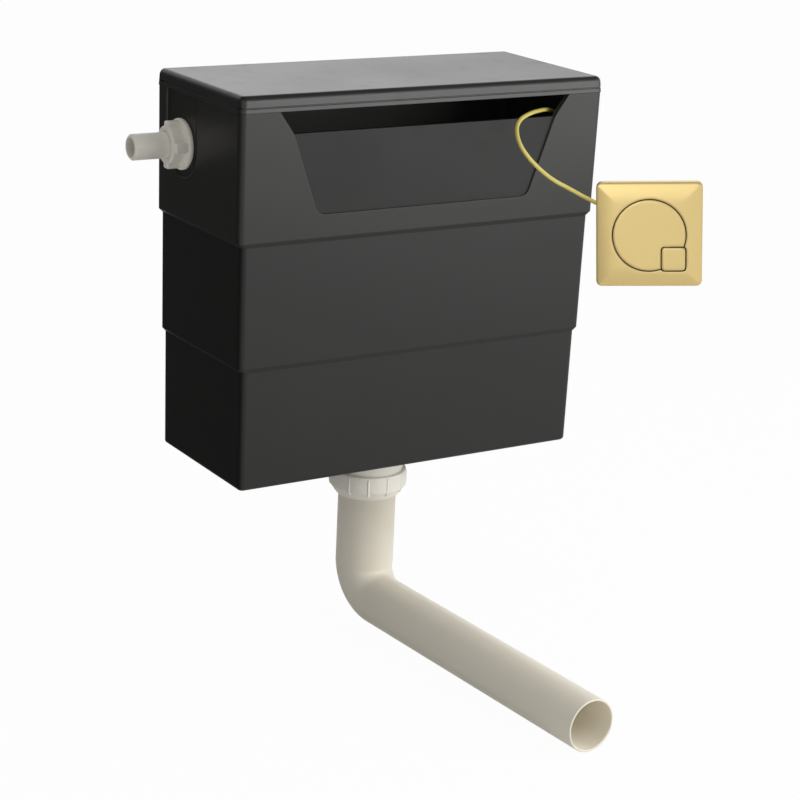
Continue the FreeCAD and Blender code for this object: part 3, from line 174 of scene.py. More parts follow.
class CisternSizes(bpy.types.PropertyGroup):
    """Sizes of the pieces that are shaped here."""

    cable_diameter: bpy.props.FloatProperty(
        name="Cable diameter", description="Outside of the cable's sheath",
        default=0.0035, unit="LENGTH")
    cable_length: bpy.props.FloatProperty(
        name="Cable length", description="Sheath between its two ferrules",
        default=0.3341, unit="LENGTH")
    pipe_radius_top: bpy.props.FloatProperty(
        name="Pipe radius at the nut", description="Outside of the upright part",
        default=0.025, unit="LENGTH")
    pipe_radius_run: bpy.props.FloatProperty(
        name="Pipe radius of the run", description="Outside of the level part",
        default=0.022, unit="LENGTH")
    pipe_wall: bpy.props.FloatProperty(
        name="Pipe wall", description="Thickness of the pipe",
        default=0.0019, unit="LENGTH")
    pipe_bend: bpy.props.FloatProperty(
        name="Pipe bend", description="Radius of the bend's middle line",
        default=0.029, unit="LENGTH")
    pipe_top: bpy.props.FloatProperty(
        name="Pipe top", description="Depth of the pipe's upper end under the tank",
        default=0.035, unit="LENGTH")
    pipe_drop: bpy.props.FloatProperty(
        name="Pipe drop", description="Depth of the level part under the tank",
        default=0.137, unit="LENGTH")
    pipe_reach: bpy.props.FloatProperty(
        name="Pipe reach", description="Length from the outlet's axis to the open end",
        default=0.312, unit="LENGTH")
    pipe_turn: bpy.props.FloatProperty(
        name="Pipe turn", description="Swing of the level part to the right",
        default=math.radians(3.5), subtype="ANGLE")
    collar_radius: bpy.props.FloatProperty(
        name="Collar radius", description="Collar that the nut pulls up",
        default=0.0275, unit="LENGTH")
    collar_height: bpy.props.FloatProperty(
        name="Collar height", description="Height of that collar",
        default=0.003, unit="LENGTH")
    rib_count: bpy.props.IntProperty(
        name="Grip ribs", description="Upright ribs on the coupling nut",
        default=12, min=3)
    rib_width: bpy.props.FloatProperty(
        name="Rib width", description="Width of one rib",
        default=0.0024, unit="LENGTH")
    rib_proud: bpy.props.FloatProperty(
        name="Rib height", description="How far a rib stands proud",
        default=0.0009, unit="LENGTH")
    lug_count: bpy.props.IntProperty(
        name="Grip lugs", description="Lugs on the inlet nut",
        default=4, min=2)
    thread_pitch: bpy.props.FloatProperty(
        name="Sleeve thread pitch", description="Pitch of the plate sleeve's thread",
        default=0.003, unit="LENGTH")
    thread_count: bpy.props.IntProperty(
        name="Sleeve thread turns", description="Ridges on the plate's sleeve",
        default=13, min=1)


class CisternFinishes(bpy.types.PropertyGroup):
    """Colours of the finishes."""

    tank_black: bpy.props.FloatVectorProperty(
        name="Tank black", description="Moulded tank",
        subtype="COLOR", size=3, min=0, max=1, default=(0.0190, 0.0186, 0.0172))
    lid_black: bpy.props.FloatVectorProperty(
        name="Lid black", description="Moulded lid",
        subtype="COLOR", size=3, min=0, max=1, default=(0.0210, 0.0203, 0.0192))
    fitting_white: bpy.props.FloatVectorProperty(
        name="Fitting white", description="Nuts, tail and valve base",
        subtype="COLOR", size=3, min=0, max=1, default=(0.87, 0.835, 0.745))
    pipe_ivory: bpy.props.FloatVectorProperty(
        name="Pipe ivory", description="Flush pipe",
        subtype="COLOR", size=3, min=0, max=1, default=(0.86, 0.805, 0.68))
    plate_gold: bpy.props.FloatVectorProperty(
        name="Plate gold", description="Push plate and buttons",
        subtype="COLOR", size=3, min=0, max=1, default=(0.84, 0.645, 0.275))
    cable_gold: bpy.props.FloatVectorProperty(
        name="Cable gold", description="Cable sheath",
        subtype="COLOR", size=3, min=0, max=1, default=(0.62, 0.52, 0.12))
    inner_grey: bpy.props.FloatVectorProperty(
        name="Inner grey", description="Valve mouldings inside the tank",
        subtype="COLOR", size=3, min=0, max=1, default=(0.055, 0.056, 0.058))
    # Colour of the painted shade in the gaps round the buttons
    gap_shade_brown: bpy.props.FloatVectorProperty(
        name="Gap brown", description="Gaps round the buttons",
        subtype="COLOR", size=3, min=0, max=1, default=(0.040, 0.019, 0.002))
    sleeve_brown: bpy.props.FloatVectorProperty(
        name="Sleeve brown", description="Mouldings behind the plate",
        subtype="COLOR", size=3, min=0, max=1, default=(0.042, 0.026, 0.008))
    rubber_black: bpy.props.FloatVectorProperty(
        name="Rubber black", description="Seals and washers",
        subtype="COLOR", size=3, min=0, max=1, default=(0.012, 0.012, 0.012))
    rubber_bloom: bpy.props.FloatVectorProperty(
        name="Rubber bloom", description="Paler clouds on the rubber",
        subtype="COLOR", size=3, min=0, max=1, default=(0.022, 0.022, 0.021))
    pin_steel: bpy.props.FloatVectorProperty(
        name="Pin steel", description="Pins, springs and wires",
        subtype="COLOR", size=3, min=0, max=1, default=(0.46, 0.46, 0.45))
    pin_bright: bpy.props.FloatVectorProperty(
        name="Pin bright", description="Paler drawing marks on the steel",
        subtype="COLOR", size=3, min=0, max=1, default=(0.58, 0.58, 0.57))


class Value:
    """A socket of a node tree that takes part in Python arithmetic."""

    def __init__(self, nodes, socket):
        self.nodes = nodes
        self.socket = socket

    def combine(self, operation, first, second):
        made = self.nodes.add("ShaderNodeMath", {"operation": operation}, {0: first, 1: second})
        return made.value(0)

    def __add__(self, other):
        return self.combine("ADD", self, other)

    def __radd__(self, other):
        return self.combine("ADD", other, self)

    def __sub__(self, other):
        return self.combine("SUBTRACT", self, other)

    def __rsub__(self, other):
        return self.combine("SUBTRACT", other, self)

    def __mul__(self, other):
        return self.combine("MULTIPLY", self, other)

    def __rmul__(self, other):
        return self.combine("MULTIPLY", other, self)

    def __truediv__(self, other):
        return self.combine("DIVIDE", self, other)

    def __rtruediv__(self, other):
        return self.combine("DIVIDE", other, self)

    def at_most(self, limit):
        return self.combine("MINIMUM", self, limit)

    def to_the(self, power):
        return self.combine("POWER", self, power)

    def root(self):
        return self.to_the(0.5)


class Made:
    """A node that has just been added, with its outputs as values."""

    def __init__(self, nodes, node):
        self.nodes = nodes
        self.node = node

    def value(self, output):
        return Value(self.nodes, self.node.outputs[output])


class Nodes:
    """A node tree that is filled by one method."""

    def __init__(self, tree):
        self.tree = tree
        self.tree.nodes.clear()

    def add(self, kind, settings=None, inputs=None):
        node = self.tree.nodes.new(kind)
        for key, setting in (settings or {}).items():
            setattr(node, key, setting)
        for key, given in (inputs or {}).items():
            if isinstance(given, Value):
                self.tree.links.new(given.socket, node.inputs[key])
            else:
                node.inputs[key].default_value = given
        return Made(self, node)

    def axes(self, vector):
        """The three parts of a vector."""
        split = self.add("ShaderNodeSeparateXYZ", {}, {"Vector": vector})
        return split.value("X"), split.value("Y"), split.value("Z")

    def span(self, value, low, high, start=0.0, end=1.0, kind="LINEAR"):
        """A value moved from one range to another and kept inside it."""
        made = self.add("ShaderNodeMapRange", {"clamp": True, "interpolation_type": kind}, {
            "Value": value, "From Min": low, "From Max": high, "To Min": start, "To Max": end})
        return made.value("Result")

    def fade(self, value, low, high):
        """1 up to a low value, and 0 from a high one on."""
        return self.span(value, low, high, 1.0, 0.0)


def surface_name(slot):
    """Name of a slot's finished material, apart from the plain one that the frame brings."""
    return slot + "_surface"


def opaque(colour, factor=1.0):
    """A colour with its alpha, made lighter or darker."""
    return tuple(min(1.0, channel * factor) for channel in colour) + (1.0,)


class Finish(Nodes):
    """A material with one principled surface."""

    # Rays that look round a point, how far an edge turns, how open a crease is, the most that a crease's
    # painted shade counts, and a noise's usual range
    samples = 6
    edge_turn = (0.02, 0.25)
    crease_air = (0.35, 0.8)
    crease_share = 0.5
    noise_range = (0.3, 0.7)

    def __init__(self, name):
        self.material = bpy.data.materials.new(surface_name(name))
        self.material.use_nodes = True
        super().__init__(self.material.node_tree)
        self.place = self.add("ShaderNodeTexCoord").value("Object")

    def noise(self, scale, detail=2.0, rough=0.5):
        """Grey noise whose scale is in features per metre."""
        made = self.add("ShaderNodeTexNoise", {}, {
            "Vector": self.place, "Scale": scale, "Detail": detail, "Roughness": rough})
        return made.value("Fac")

    def vary(self, noise, low, high):
        """A noise's usual range moved to another."""
        return self.span(noise, *self.noise_range, low, high)

    def blend(self, share, first, second):
        """Two colours mixed by a share."""
        made = self.add("ShaderNodeMix", {"data_type": "RGBA"}, {0: share, 6: first, 7: second})
        return made.value(2)

    def mottle(self, noise, colour, first, second):
        """A colour that a noise takes from one factor to another."""
        return self.blend(noise, opaque(colour, first), opaque(colour, second))

    def edges(self, radius):
        """Normal that rounds sharp edges, and a mask that is 1 on them."""
        rounded = self.add("ShaderNodeBevel", {"samples": self.samples}, {"Radius": radius}).value("Normal")
        flat = self.add("ShaderNodeNewGeometry").value("True Normal")
        facing = self.add("ShaderNodeVectorMath", {"operation": "DOT_PRODUCT"}, {0: rounded, 1: flat})
        return rounded, self.span(1 - facing.value("Value"), *self.edge_turn)

    def crease_shade(self, reach):
        """Mask of the inner corners, where shade is painted into the colour."""
        air = self.add("ShaderNodeAmbientOcclusion", {"samples": self.samples, "only_local": True}, {
            "Distance": reach})
        return self.span(air.value("AO"), *self.crease_air, self.crease_share, 0.0)

    def close(self, inputs, height, depth, normal=None):
        """Ends the tree in a principled surface with a relief of some depth."""
        relief = {"Height": height, "Strength": 1.0, "Distance": depth}
        if normal is not None:
            relief["Normal"] = normal
        bump = self.add("ShaderNodeBump", {}, relief).value("Normal")
        surface = self.add("ShaderNodeBsdfPrincipled", {}, {**inputs, "Normal": bump})
        self.add("ShaderNodeOutputMaterial", {}, {"Surface": surface.value("BSDF")})
        return self.material


def inlet_shadow(finish):
    """Mask of painted shade along the front walls of the shallow recess round the water inlet."""
    x, y, z = finish.axes(finish.place)
    across = y - INLET_MIDDLE.y
    under = (z - INLET_MIDDLE.z).at_most(0.0)
    reach = (across * across + under * under).root() - INLET_RECESS
    near = finish.span(reach, *INLET_SHADE_IN) * finish.fade(reach, *INLET_SHADE_OUT)
    front = finish.fade(across, *INLET_SHADE_BACK) * finish.span(under, *INLET_SHADE_FOOT)
    return near * front * finish.fade(x, *INLET_SHADE_DEPTH)


def recess_painted_shade(finish):
    """Mask of the recessed front panel, which is painted darker as shade and made duller."""
    x, y, z = finish.axes(finish.place)
    behind = y - RECESS_PANEL
    near, far = RECESS_FADE
    level = finish.span(behind, -far, -near) * finish.fade(behind, near, far)
    inside = finish.fade(x * x, *(reach ** 2 for reach in RECESS_REACH))
    return level * inside * finish.span(z, *RECESS_FOOT)


def lower_tiers_painted_shade(finish):
    """Mask of painted shade on the two narrower tiers, apart from the flat back; these tiers are also
    duller.
    """
    y, z = finish.axes(finish.place)[1:]
    return finish.fade(z, *TIER_TOP) * finish.fade(y, *FLAT_BACK)


def inner_faces_painted_light(finish):
    """Mask of the upright faces that look inwards, the inside of the shell, painted lighter to stand in for
    light that reaches in, and duller.
    """
    x, y = finish.axes(finish.place)[:2]
    turned_x, turned_y = finish.axes(finish.add("ShaderNodeNewGeometry").value("True Normal"))[:2]
    inward = turned_x * (TANK_MIDDLE.x - x) + turned_y * (TANK_MIDDLE.y - y)
    return finish.span(inward, *INWARD_TURN)


# Regions of the tank with painted shade, and one with painted light, in the order that they are laid on:
# each one's mask, the share of its tone, the tone as a factor of the tank's colour, and how much duller it
# is
TANK_REGIONS = (
    (lower_tiers_painted_shade, 0.6, 0.3, 0.05),
    (inner_faces_painted_light, 1.0, 5.5, 0.20),
    (recess_painted_shade, 1.0, 0.45, 0.20),
    (inlet_shadow, 1.0, 0.05, 0.50),
)


def moulded_black(name, colour, roughness, edge_radius, specular, regions=()):
    """Satin black moulding: faint flow clouds, a fine grain, slightly worn edges, painted shade in its
    creases, and the painted shade and light of the regions given.
    """
    finish = Finish(name)
    clouds = finish.noise(9.0, 3.0)
    grain = finish.noise(2600.0, 1.0)
    scuffs = finish.noise(60.0, 5.0, 0.65)
    rounded, wear_and_highlight = finish.edges(edge_radius)
    base = finish.mottle(clouds, colour, 0.92, 1.10)
    base = finish.blend(wear_and_highlight * WORN_SHARE * scuffs, base, opaque(colour, WORN_PALER))
    base = finish.blend(finish.crease_shade(CREASE_SHADE_REACH), base, opaque(colour, CREASE_SHADE_DARKER))
    gloss = finish.vary(clouds, roughness - 0.025, roughness + 0.025)
    gloss = gloss + finish.span(scuffs, 0.55, 0.8, 0.0, 0.05)
    for region, share, tone, duller in regions:
        mask = region(finish)
        base = finish.blend(mask * share, base, opaque(colour, tone))
        gloss = gloss + mask * duller
    inputs = {"Base Color": base, "Roughness": gloss, "Specular IOR Level": specular}
    return finish.close(inputs, grain, 0.000012, rounded)


def tank_plastic(colours):
    """Finish of the tank."""
    return moulded_black("tank_plastic", colours.tank_black, 0.38, 0.0012, 0.34, TANK_REGIONS)


def lid_plastic(colours):
    """Finish of the lid, a little smoother than the tank's."""
    return moulded_black("lid_plastic", colours.lid_black, 0.33, 0.0006, 0.42)


def plain_moulding(name, colour, roughness, edge_radius, specular=0.5):
    """Plain moulded plastic with a soft cloudiness."""
    finish = Finish(name)
    clouds = finish.noise(35.0, 3.0)
    grain = finish.noise(1800.0, 1.0)
    base = finish.mottle(clouds, colour, 0.95, 1.04)
    gloss = finish.vary(clouds, roughness - 0.03, roughness + 0.03)
    rounded = finish.edges(edge_radius)[0]
    inputs = {"Base Color": base, "Roughness": gloss, "Specular IOR Level": specular}
    return finish.close(inputs, grain, 0.00001, rounded)


def white_fitting(colours):
    """Finish of the white nuts and tails."""
    return plain_moulding("white_fitting", colours.fitting_white, 0.42, 0.0007)


def pipe_plastic(colours):
    """Ivory pipe, with the faint lengthwise streaks of an extruded tube."""
    finish = Finish("pipe_plastic")
    stretched = finish.add("ShaderNodeMapping", {}, {"Vector": finish.place, "Scale": (1.0, 0.06, 1.0)})
    streaks = finish.add("ShaderNodeTexNoise", {}, {
        "Vector": stretched.value("Vector"), "Scale": 260.0, "Detail": 2.0}).value("Fac")
    clouds = finish.noise(18.0, 2.0)
    base = finish.mottle(clouds, colours.pipe_ivory, 0.96, 1.03)
    gloss = finish.vary(streaks, 0.34, 0.42)
    return finish.close({"Base Color": base, "Roughness": gloss}, streaks, 0.000015)


def button_gap_shade(finish):
    """Mask of the painted shade in the gaps round the large round button and the small square one."""
    seat = finish.add("ShaderNodeMapping", {"vector_type": "TEXTURE"}, {
        "Vector": finish.place, "Location": PLATE_CENTRE, "Rotation": PLATE_AXIS.to_euler()})
    x, y = (part * 1000 for part in finish.axes(seat.value("Vector"))[:2])
    ring = (x * x + y * y).root() - BUTTON_RING
    across = (x - BUTTON_SQUARE) / BUTTON_SQUARE_HALF
    up = (y + BUTTON_SQUARE) / BUTTON_SQUARE_HALF
    power = BUTTON_SQUARE_POWER
    square = (across.to_the(power) + up.to_the(power)).to_the(1 / power) - 1
    round_gap = finish.fade(ring * ring, *BUTTON_GAP_FADE) * finish.span(square, -0.01, 0.01)
    square = square * BUTTON_SQUARE_HALF
    square_gap = finish.fade(square * square, *BUTTON_GAP_FADE)
    return 1 - (1 - round_gap) * (1 - square_gap)


def gold_finish(colours):
    """Satin gold plating: very fine grain over metal, a painted highlight on the edges and painted shade in
    the buttons' gaps.
    """
    finish = Finish("gold_finish")
    grain = finish.noise(5200.0, 2.0)
    clouds = finish.noise(24.0, 2.0)
    rounded, wear_and_highlight = finish.edges(0.0030)
    base = finish.mottle(clouds, colours.plate_gold, 0.97, 1.03)
    # Paler edges: a painted highlight
    base = finish.blend(wear_and_highlight * 0.3, base, opaque(colours.plate_gold, 1.2))
    # Painted shade in the gaps round the buttons
    gap_shade = button_gap_shade(finish)
    base = finish.blend(gap_shade, base, opaque(colours.gap_shade_brown))
    gloss = finish.vary(grain, 0.36, 0.46) + gap_shade * 0.4
    metal = GOLD_METAL + gap_shade * (1 - GOLD_METAL)
    inputs = {"Base Color": base, "Roughness": gloss, "Metallic": metal}
    return finish.close(inputs, grain, 0.000006, rounded)


def cable_sheath(colours):
    """Smooth yellow-gold sheath."""
    finish = Finish("cable_sheath")
    clouds = finish.noise(140.0, 2.0)
    base = finish.mottle(clouds, colours.cable_gold, 0.92, 1.05)
    gloss = finish.vary(clouds, 0.32, 0.42)
    return finish.close({"Base Color": base, "Roughness": gloss}, clouds, 0.00003)


def rubber_seal(colours):
    """Dull black rubber."""
    finish = Finish("rubber_seal")
    bloom = finish.noise(320.0, 3.0)
    base = finish.blend(bloom, opaque(colours.rubber_black), opaque(colours.rubber_bloom))
    gloss = finish.vary(bloom, 0.7, 0.85)
    return finish.close({"Base Color": base, "Roughness": gloss}, bloom, 0.00002)


def grey_fitting(colours):
    """Dark grey mouldings of the valves."""
    return plain_moulding("grey_fitting", colours.inner_grey, 0.48, 0.0005)


def foam_float(colours):
    """Closed-cell foam."""
    finish = Finish("foam_float")
    foam = finish.add("ShaderNodeTexVoronoi", {}, {"Vector": finish.place, "Scale": 420.0})
    cells = foam.value("Distance")
    base = finish.mottle(cells, colours.inner_grey, 1.2, 0.7)
    return finish.close({"Base Color": base, "Roughness": 0.85}, cells, 0.0002)


def steel_pin(colours):
    """Drawn stainless wire and pins."""
    finish = Finish("steel_pin")
    drawn = finish.noise(900.0, 2.0)
    base = finish.blend(drawn, opaque(colours.pin_steel), opaque(colours.pin_bright))
    gloss = finish.vary(drawn, 0.22, 0.34)
    return finish.close({"Base Color": base, "Roughness": gloss, "Metallic": 1.0}, drawn, 0.00001)


def ferrule_plastic(colours):
    """Black moulded cable ends."""
    return moulded_black("ferrule_plastic", colours.tank_black, 0.42, 0.0003, 0.34)


def dark_plastic(colours):
    """Dark moulding behind the plate, brown in the buttons' gaps."""
    return plain_moulding("dark_plastic", colours.sleeve_brown, 0.5, 0.0005, 0.05)


FINISHES = {
    "tank_plastic": tank_plastic,
    "lid_plastic": lid_plastic,
    "white_fitting": white_fitting,
    "pipe_plastic": pipe_plastic,
    "rubber_seal": rubber_seal,
    "grey_fitting": grey_fitting,
    "foam_float": foam_float,
    "steel_pin": steel_pin,
    "cable_sheath": cable_sheath,
    "ferrule_plastic": ferrule_plastic,
    "gold_finish": gold_finish,
    "dark_plastic": dark_plastic,
}


def finish_of(slot):
    """The slot's material, made on its first use."""
    made = bpy.data.materials.get(surface_name(slot))
    return made or FINISHES[slot](bpy.context.scene.cistern_finishes)


def keep_off(piece):
    """Keeps a piece's mirror image and shadow off the tank."""
    piece.visible_glossy = False
    piece.visible_shadow = False


def place_piece(name, mesh, axis, node):
    """Puts a mesh into the scene as a finished piece that stands for a node or sits on it."""
    mesh.transform(axis)
    mesh.shade_smooth()
    piece = bpy.data.objects.new(name, mesh)
    bpy.context.collection.objects.link(piece)
    if not mesh.materials:
        mesh.materials.append(finish_of(SLOT_OF[node]))
    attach(piece, "cistern")
    if node in PLATE_NODES:
        keep_off(piece)
    return piece


def rounded_profile(corners, steps=5):
    """Closed outline with its corners rounded, from (radius, height, fillet) corners."""
    outline = []
    for index, (x, z, fillet) in enumerate(corners):
        here = Vector((x, z))
        if fillet == 0:
            outline.append(here)
            continue
        before = (Vector(corners[index - 1][:2]) - here).normalized()
        after = (Vector(corners[(index + 1) % len(corners)][:2]) - here).normalized()
        half = before.angle(after) / 2
        setback = fillet / math.tan(half)
        inward = (before + after).normalized()
        centre = here + inward * (fillet / math.sin(half))
        start = here + before * setback - centre
        end = here + after * setback - centre
        sweep = start.angle_signed(end)
        for step in range(steps + 1):
            turn = -sweep * step / steps
            outline.append(centre + Matrix.Rotation(turn, 2) @ start)
    return outline


def loop_mesh(name, rings, closed):
    """Mesh through rings of points, each ring closed, the rings themselves closed or capped."""
    mesh = bpy.data.meshes.new(name)
    build = bmesh.new()
    loops = [[build.verts.new(point) for point in ring] for ring in rings]
    pairs = list(zip(loops, loops[1:]))
    if closed:
        pairs.append((loops[-1], loops[0]))
    for near, far in pairs:
        for index in range(len(near)):
            following = (index + 1) % len(near)
            build.faces.new((near[index], near[following], far[following], far[index]))
    if not closed:
        build.faces.new(loops[0][::-1])
        build.faces.new(loops[-1])
    bmesh.ops.recalc_face_normals(build, faces=build.faces)
    build.to_mesh(mesh)
    build.free()
    return mesh


def lathe(name, outline, segments=96):
    """Mesh turned about Z from a closed outline of radii and heights."""
    rings = []
    for index in range(segments):
        angle = 2 * math.pi * index / segments
        rings.append([(x * math.cos(angle), x * math.sin(angle), z) for x, z in outline])
    return loop_mesh(name, rings, True)


def repeat_tree():
    """Geometry nodes that repeat a shape, each copy moved by a step and turned about Z."""
    tree = bpy.data.node_groups.get("repeat_shape")
    if tree:
        return tree
    tree = bpy.data.node_groups.new("repeat_shape", "GeometryNodeTree")
    face = tree.interface
    face.new_socket("Shape", in_out="INPUT", socket_type="NodeSocketGeometry")
    face.new_socket("Count", in_out="INPUT", socket_type="NodeSocketInt")
    face.new_socket("Step", in_out="INPUT", socket_type="NodeSocketVector")
    face.new_socket("Turn", in_out="INPUT", socket_type="NodeSocketFloat")
    face.new_socket("Finish", in_out="INPUT", socket_type="NodeSocketMaterial")
    face.new_socket("Copies", in_out="OUTPUT", socket_type="NodeSocketGeometry")
    nodes = Nodes(tree)
    given = nodes.add("NodeGroupInput")
    number = nodes.add("GeometryNodeInputIndex").value("Index")
    moved = nodes.add("ShaderNodeVectorMath", {"operation": "SCALE"}, {
        0: given.value("Step"), "Scale": number})
    points = nodes.add("GeometryNodePoints", {}, {
        "Count": given.value("Count"), "Position": moved.value("Vector")})
    angle = nodes.add("ShaderNodeCombineXYZ", {}, {"Z": number * given.value("Turn")})
    turn = nodes.add("FunctionNodeEulerToRotation", {}, {"Euler": angle.value("Vector")})
    copies = nodes.add("GeometryNodeInstanceOnPoints", {}, {
        "Points": points.value(0), "Instance": given.value("Shape"), "Rotation": turn.value("Rotation")})
    real = nodes.add("GeometryNodeRealizeInstances", {}, {"Geometry": copies.value("Instances")})
    done = nodes.add("GeometryNodeSetMaterial", {}, {
        "Geometry": real.value("Geometry"), "Material": given.value("Finish")})
    nodes.add("NodeGroupOutput", {}, {"Copies": done.value("Geometry")})
    return tree


def repeated(mesh, count, step, turn, slot):
    """Plain mesh of the repeated shape."""
    holder = bpy.data.objects.new(mesh.name, mesh)
    bpy.context.collection.objects.link(holder)
    modifier = holder.modifiers.new("repeat", "NODES")
    modifier.node_group = repeat_tree()
    settings = {"Count": count, "Step": step, "Turn": turn, "Finish": finish_of(slot)}
    for socket in modifier.node_group.interface.items_tree:
        if socket.name in settings:
            modifier[socket.identifier] = settings[socket.name]
    evaluated = holder.evaluated_get(bpy.context.evaluated_depsgraph_get())
    result = bpy.data.meshes.new_from_object(evaluated)
    holder.modifiers.remove(modifier)
    bpy.data.objects.remove(holder)
    return result


class CISTERN_OT_stage(bpy.types.Operator):
    """Camera at the photograph's view, pale floor and soft studio light"""

    bl_idname = "cistern.stage"
    bl_label = "Stage"

    # Camera: its place, its turn in degrees, and its lens and sensor in millimetres
    camera_place = (-0.94381, -1.58883, 0.31257)
    camera_turn = (72.4994, -2.5627, -31.8291)
    lens = 98.67
    sensor = 36.0

    # Floor: its gap under the lowest piece, its half side, its grey, and how white the camera sees it
    floor_gap = 0.004
    floor_reach = 30.0
    floor_grey = (0.86, 0.86, 0.86, 1.0)
    floor_white = 0.97

    # Surround: the dark card's direction, its soft edge and its depth in reflections and in soft
    # light, the heights over which the ground and the ceiling darken, and their levels
    card_way = (-0.80, 0.45, -0.31)
    card_edge = (0.20, 0.75)
    card_depth = 0.95
    card_depth_soft = 0.2
    ground_edge = (-0.36, -0.14)
    ground_level = 0.80
    ceiling_edge = (0.45, 0.75)
    ceiling_level = 0.1
    soft_level = 0.46

    # Panels: each one's place, the point that it faces, its size, its strength and if it is mirrored
    middle = (0.0, -0.07, -0.13)
    panels = {
        "front_panel": ((0.62, -1.02, 0.12), (0.05, -0.14, 0.06), (1.1, 0.70), 3.6, True),
        "plate_panel": (PLATE_CENTRE + Vector((-0.80, -0.40, 0.34)), PLATE_CENTRE, (0.8, 0.8), 1.70, True),
        "back_softbox": ((1.3, 1.9, 0.75), middle, (1.6, 0.7), 0.75, True),
        "top_softbox": ((0.1, -0.2, 1.6), middle, (1.2, 1.0), 0.45, False),
    }

    def softbox(self, name, place, target, size, strength, mirrored):
        """Rectangular lamp of a given brightness that faces a point."""
        lamp = bpy.data.lights.new(name, "AREA")
        lamp.shape = "RECTANGLE"
        lamp.size, lamp.size_y = size
        lamp.energy = strength * math.pi * size[0] * size[1]
        holder = bpy.data.objects.new(name, lamp)
        holder.location = place
        holder.rotation_euler = (Vector(target) - Vector(place)).to_track_quat("-Z", "Y").to_euler()
        holder.visible_camera = False
        holder.visible_glossy = mirrored
        bpy.context.collection.objects.link(holder)
        return holder

    def aim(self, lamp, pieces, state):
        """Lets a lamp light some pieces only, or all but those."""
        group = bpy.data.collections.new(lamp.name + "_pieces")
        for piece in pieces:
            group.objects.link(piece)
        for entry in group.collection_objects:
            entry.light_linking.link_state = state
        lamp.light_linking.receiver_collection = group

    def camera(self):
        """Long lens at the photograph's place."""
        data = bpy.data.cameras.new("camera")
        data.lens = self.lens
        data.sensor_width = self.sensor
        holder = bpy.data.objects.new("camera", data)
        holder.location = self.camera_place
        holder.rotation_euler = Euler([math.radians(angle) for angle in self.camera_turn])
        bpy.context.collection.objects.link(holder)
        bpy.context.scene.camera = holder

    def floor(self):
        """Large pale floor that the lowest piece nearly touches."""
        mesh = bpy.data.meshes.new("floor")
        level = CAD_BOX[0][2] - self.floor_gap
        reach = self.floor_reach
        corners = [(-reach, -reach), (reach, -reach), (reach, reach), (-reach, reach)]
        mesh.from_pydata([(x, y, level) for x, y in corners], [], [(0, 1, 2, 3)])
        material = bpy.data.materials.new("pale_floor")
        material.use_nodes = True
        mesh.materials.append(material)
        nodes = Nodes(material.node_tree)
        grey = nodes.add("ShaderNodeBsdfDiffuse", {}, {"Color": self.floor_grey})
        white = nodes.add("ShaderNodeEmission", {}, {"Color": WHITE, "Strength": 1.0})
        seen = nodes.add("ShaderNodeLightPath").value("Is Camera Ray") * self.floor_white
        mixed = nodes.add("ShaderNodeMixShader", {}, {
            0: seen, 1: grey.value("BSDF"), 2: white.value("Emission")})
        nodes.add("ShaderNodeOutputMaterial", {}, {"Surface": mixed.value("Shader")})
        floor = bpy.data.objects.new("floor", mesh)
        floor.visible_glossy = False
        bpy.context.collection.objects.link(floor)

    def world(self):
        """White surround with a dark card on the left and a dark ceiling, as reflections see it."""
        world = bpy.data.worlds.new("studio")
        world.use_nodes = True
        bpy.context.scene.world = world
        nodes = Nodes(world.node_tree)
        way = nodes.add("ShaderNodeTexCoord").value("Generated")
        along = nodes.add("ShaderNodeVectorMath", {"operation": "DOT_PRODUCT"}, {0: way, 1: self.card_way})
        card = nodes.span(along.value("Value"), *self.card_edge, kind="SMOOTHSTEP")
        height = nodes.axes(way)[2]
        ground = nodes.span(height, *self.ground_edge, self.ground_level, 1.0)
        ceiling = nodes.span(height, *self.ceiling_edge, 1.0, self.ceiling_level, "SMOOTHSTEP")
        path = nodes.add("ShaderNodeLightPath")
        camera = path.value("Is Camera Ray")
        glossy = path.value("Is Glossy Ray")
        through = path.value("Is Transmission Ray")
        soft = (1 - camera) * (1 - glossy) * (1 - through)
        strength = camera + through + glossy * (1 - card * self.card_depth) * ground * ceiling
        strength = strength + soft * self.soft_level * (1 - card * self.card_depth_soft)
        back = nodes.add("ShaderNodeBackground", {}, {"Color": WHITE, "Strength": strength})
        nodes.add("ShaderNodeOutputWorld", {}, {"Surface": back.value("Background")})

    def execute(self, context):
        context.scene.view_settings.view_transform = "Standard"
        self.camera()
        self.floor()
        self.world()
        lamps = {name: self.softbox(name, *panel) for name, panel in self.panels.items()}
        gold = [frame["nodes"][node] for node, slot in SLOT_OF.items() if slot == "gold_finish"]
        self.aim(lamps["front_panel"], gold, "EXCLUDE")
        self.aim(lamps["plate_panel"], gold, "INCLUDE")
        return {"FINISHED"}


class CISTERN_OT_cable(bpy.types.Operator):
    """Flush cable on its smooth route from the valve to the plate"""

    bl_idname = "cistern.cable"
    bl_label = "Flush cable"

    def execute(self, context):
        sizes = context.scene.cistern_sizes
        curve = bpy.data.curves.new("cable", "CURVE")
        curve.dimensions = "3D"
        curve.bevel_depth = sizes.cable_diameter / 2
        curve.bevel_resolution = 5
        curve.resolution_u = 10
        curve.use_fill_caps = True
        spline = curve.splines.new("NURBS")
        spline.points.add(len(CABLE_ROUTE) - 1)
        for point, place in zip(spline.points, CABLE_ROUTE):
            point.co = (*place, 1.0)
        spline.order_u = 3
        spline.use_endpoint_u = True
        curve.materials.append(finish_of("cable_sheath"))
        cable = bpy.data.objects.new("cable", curve)
        context.collection.objects.link(cable)
        keep_off(cable)
        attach(cable, "cistern")
        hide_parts("flush_cable")
        return {"FINISHED"}


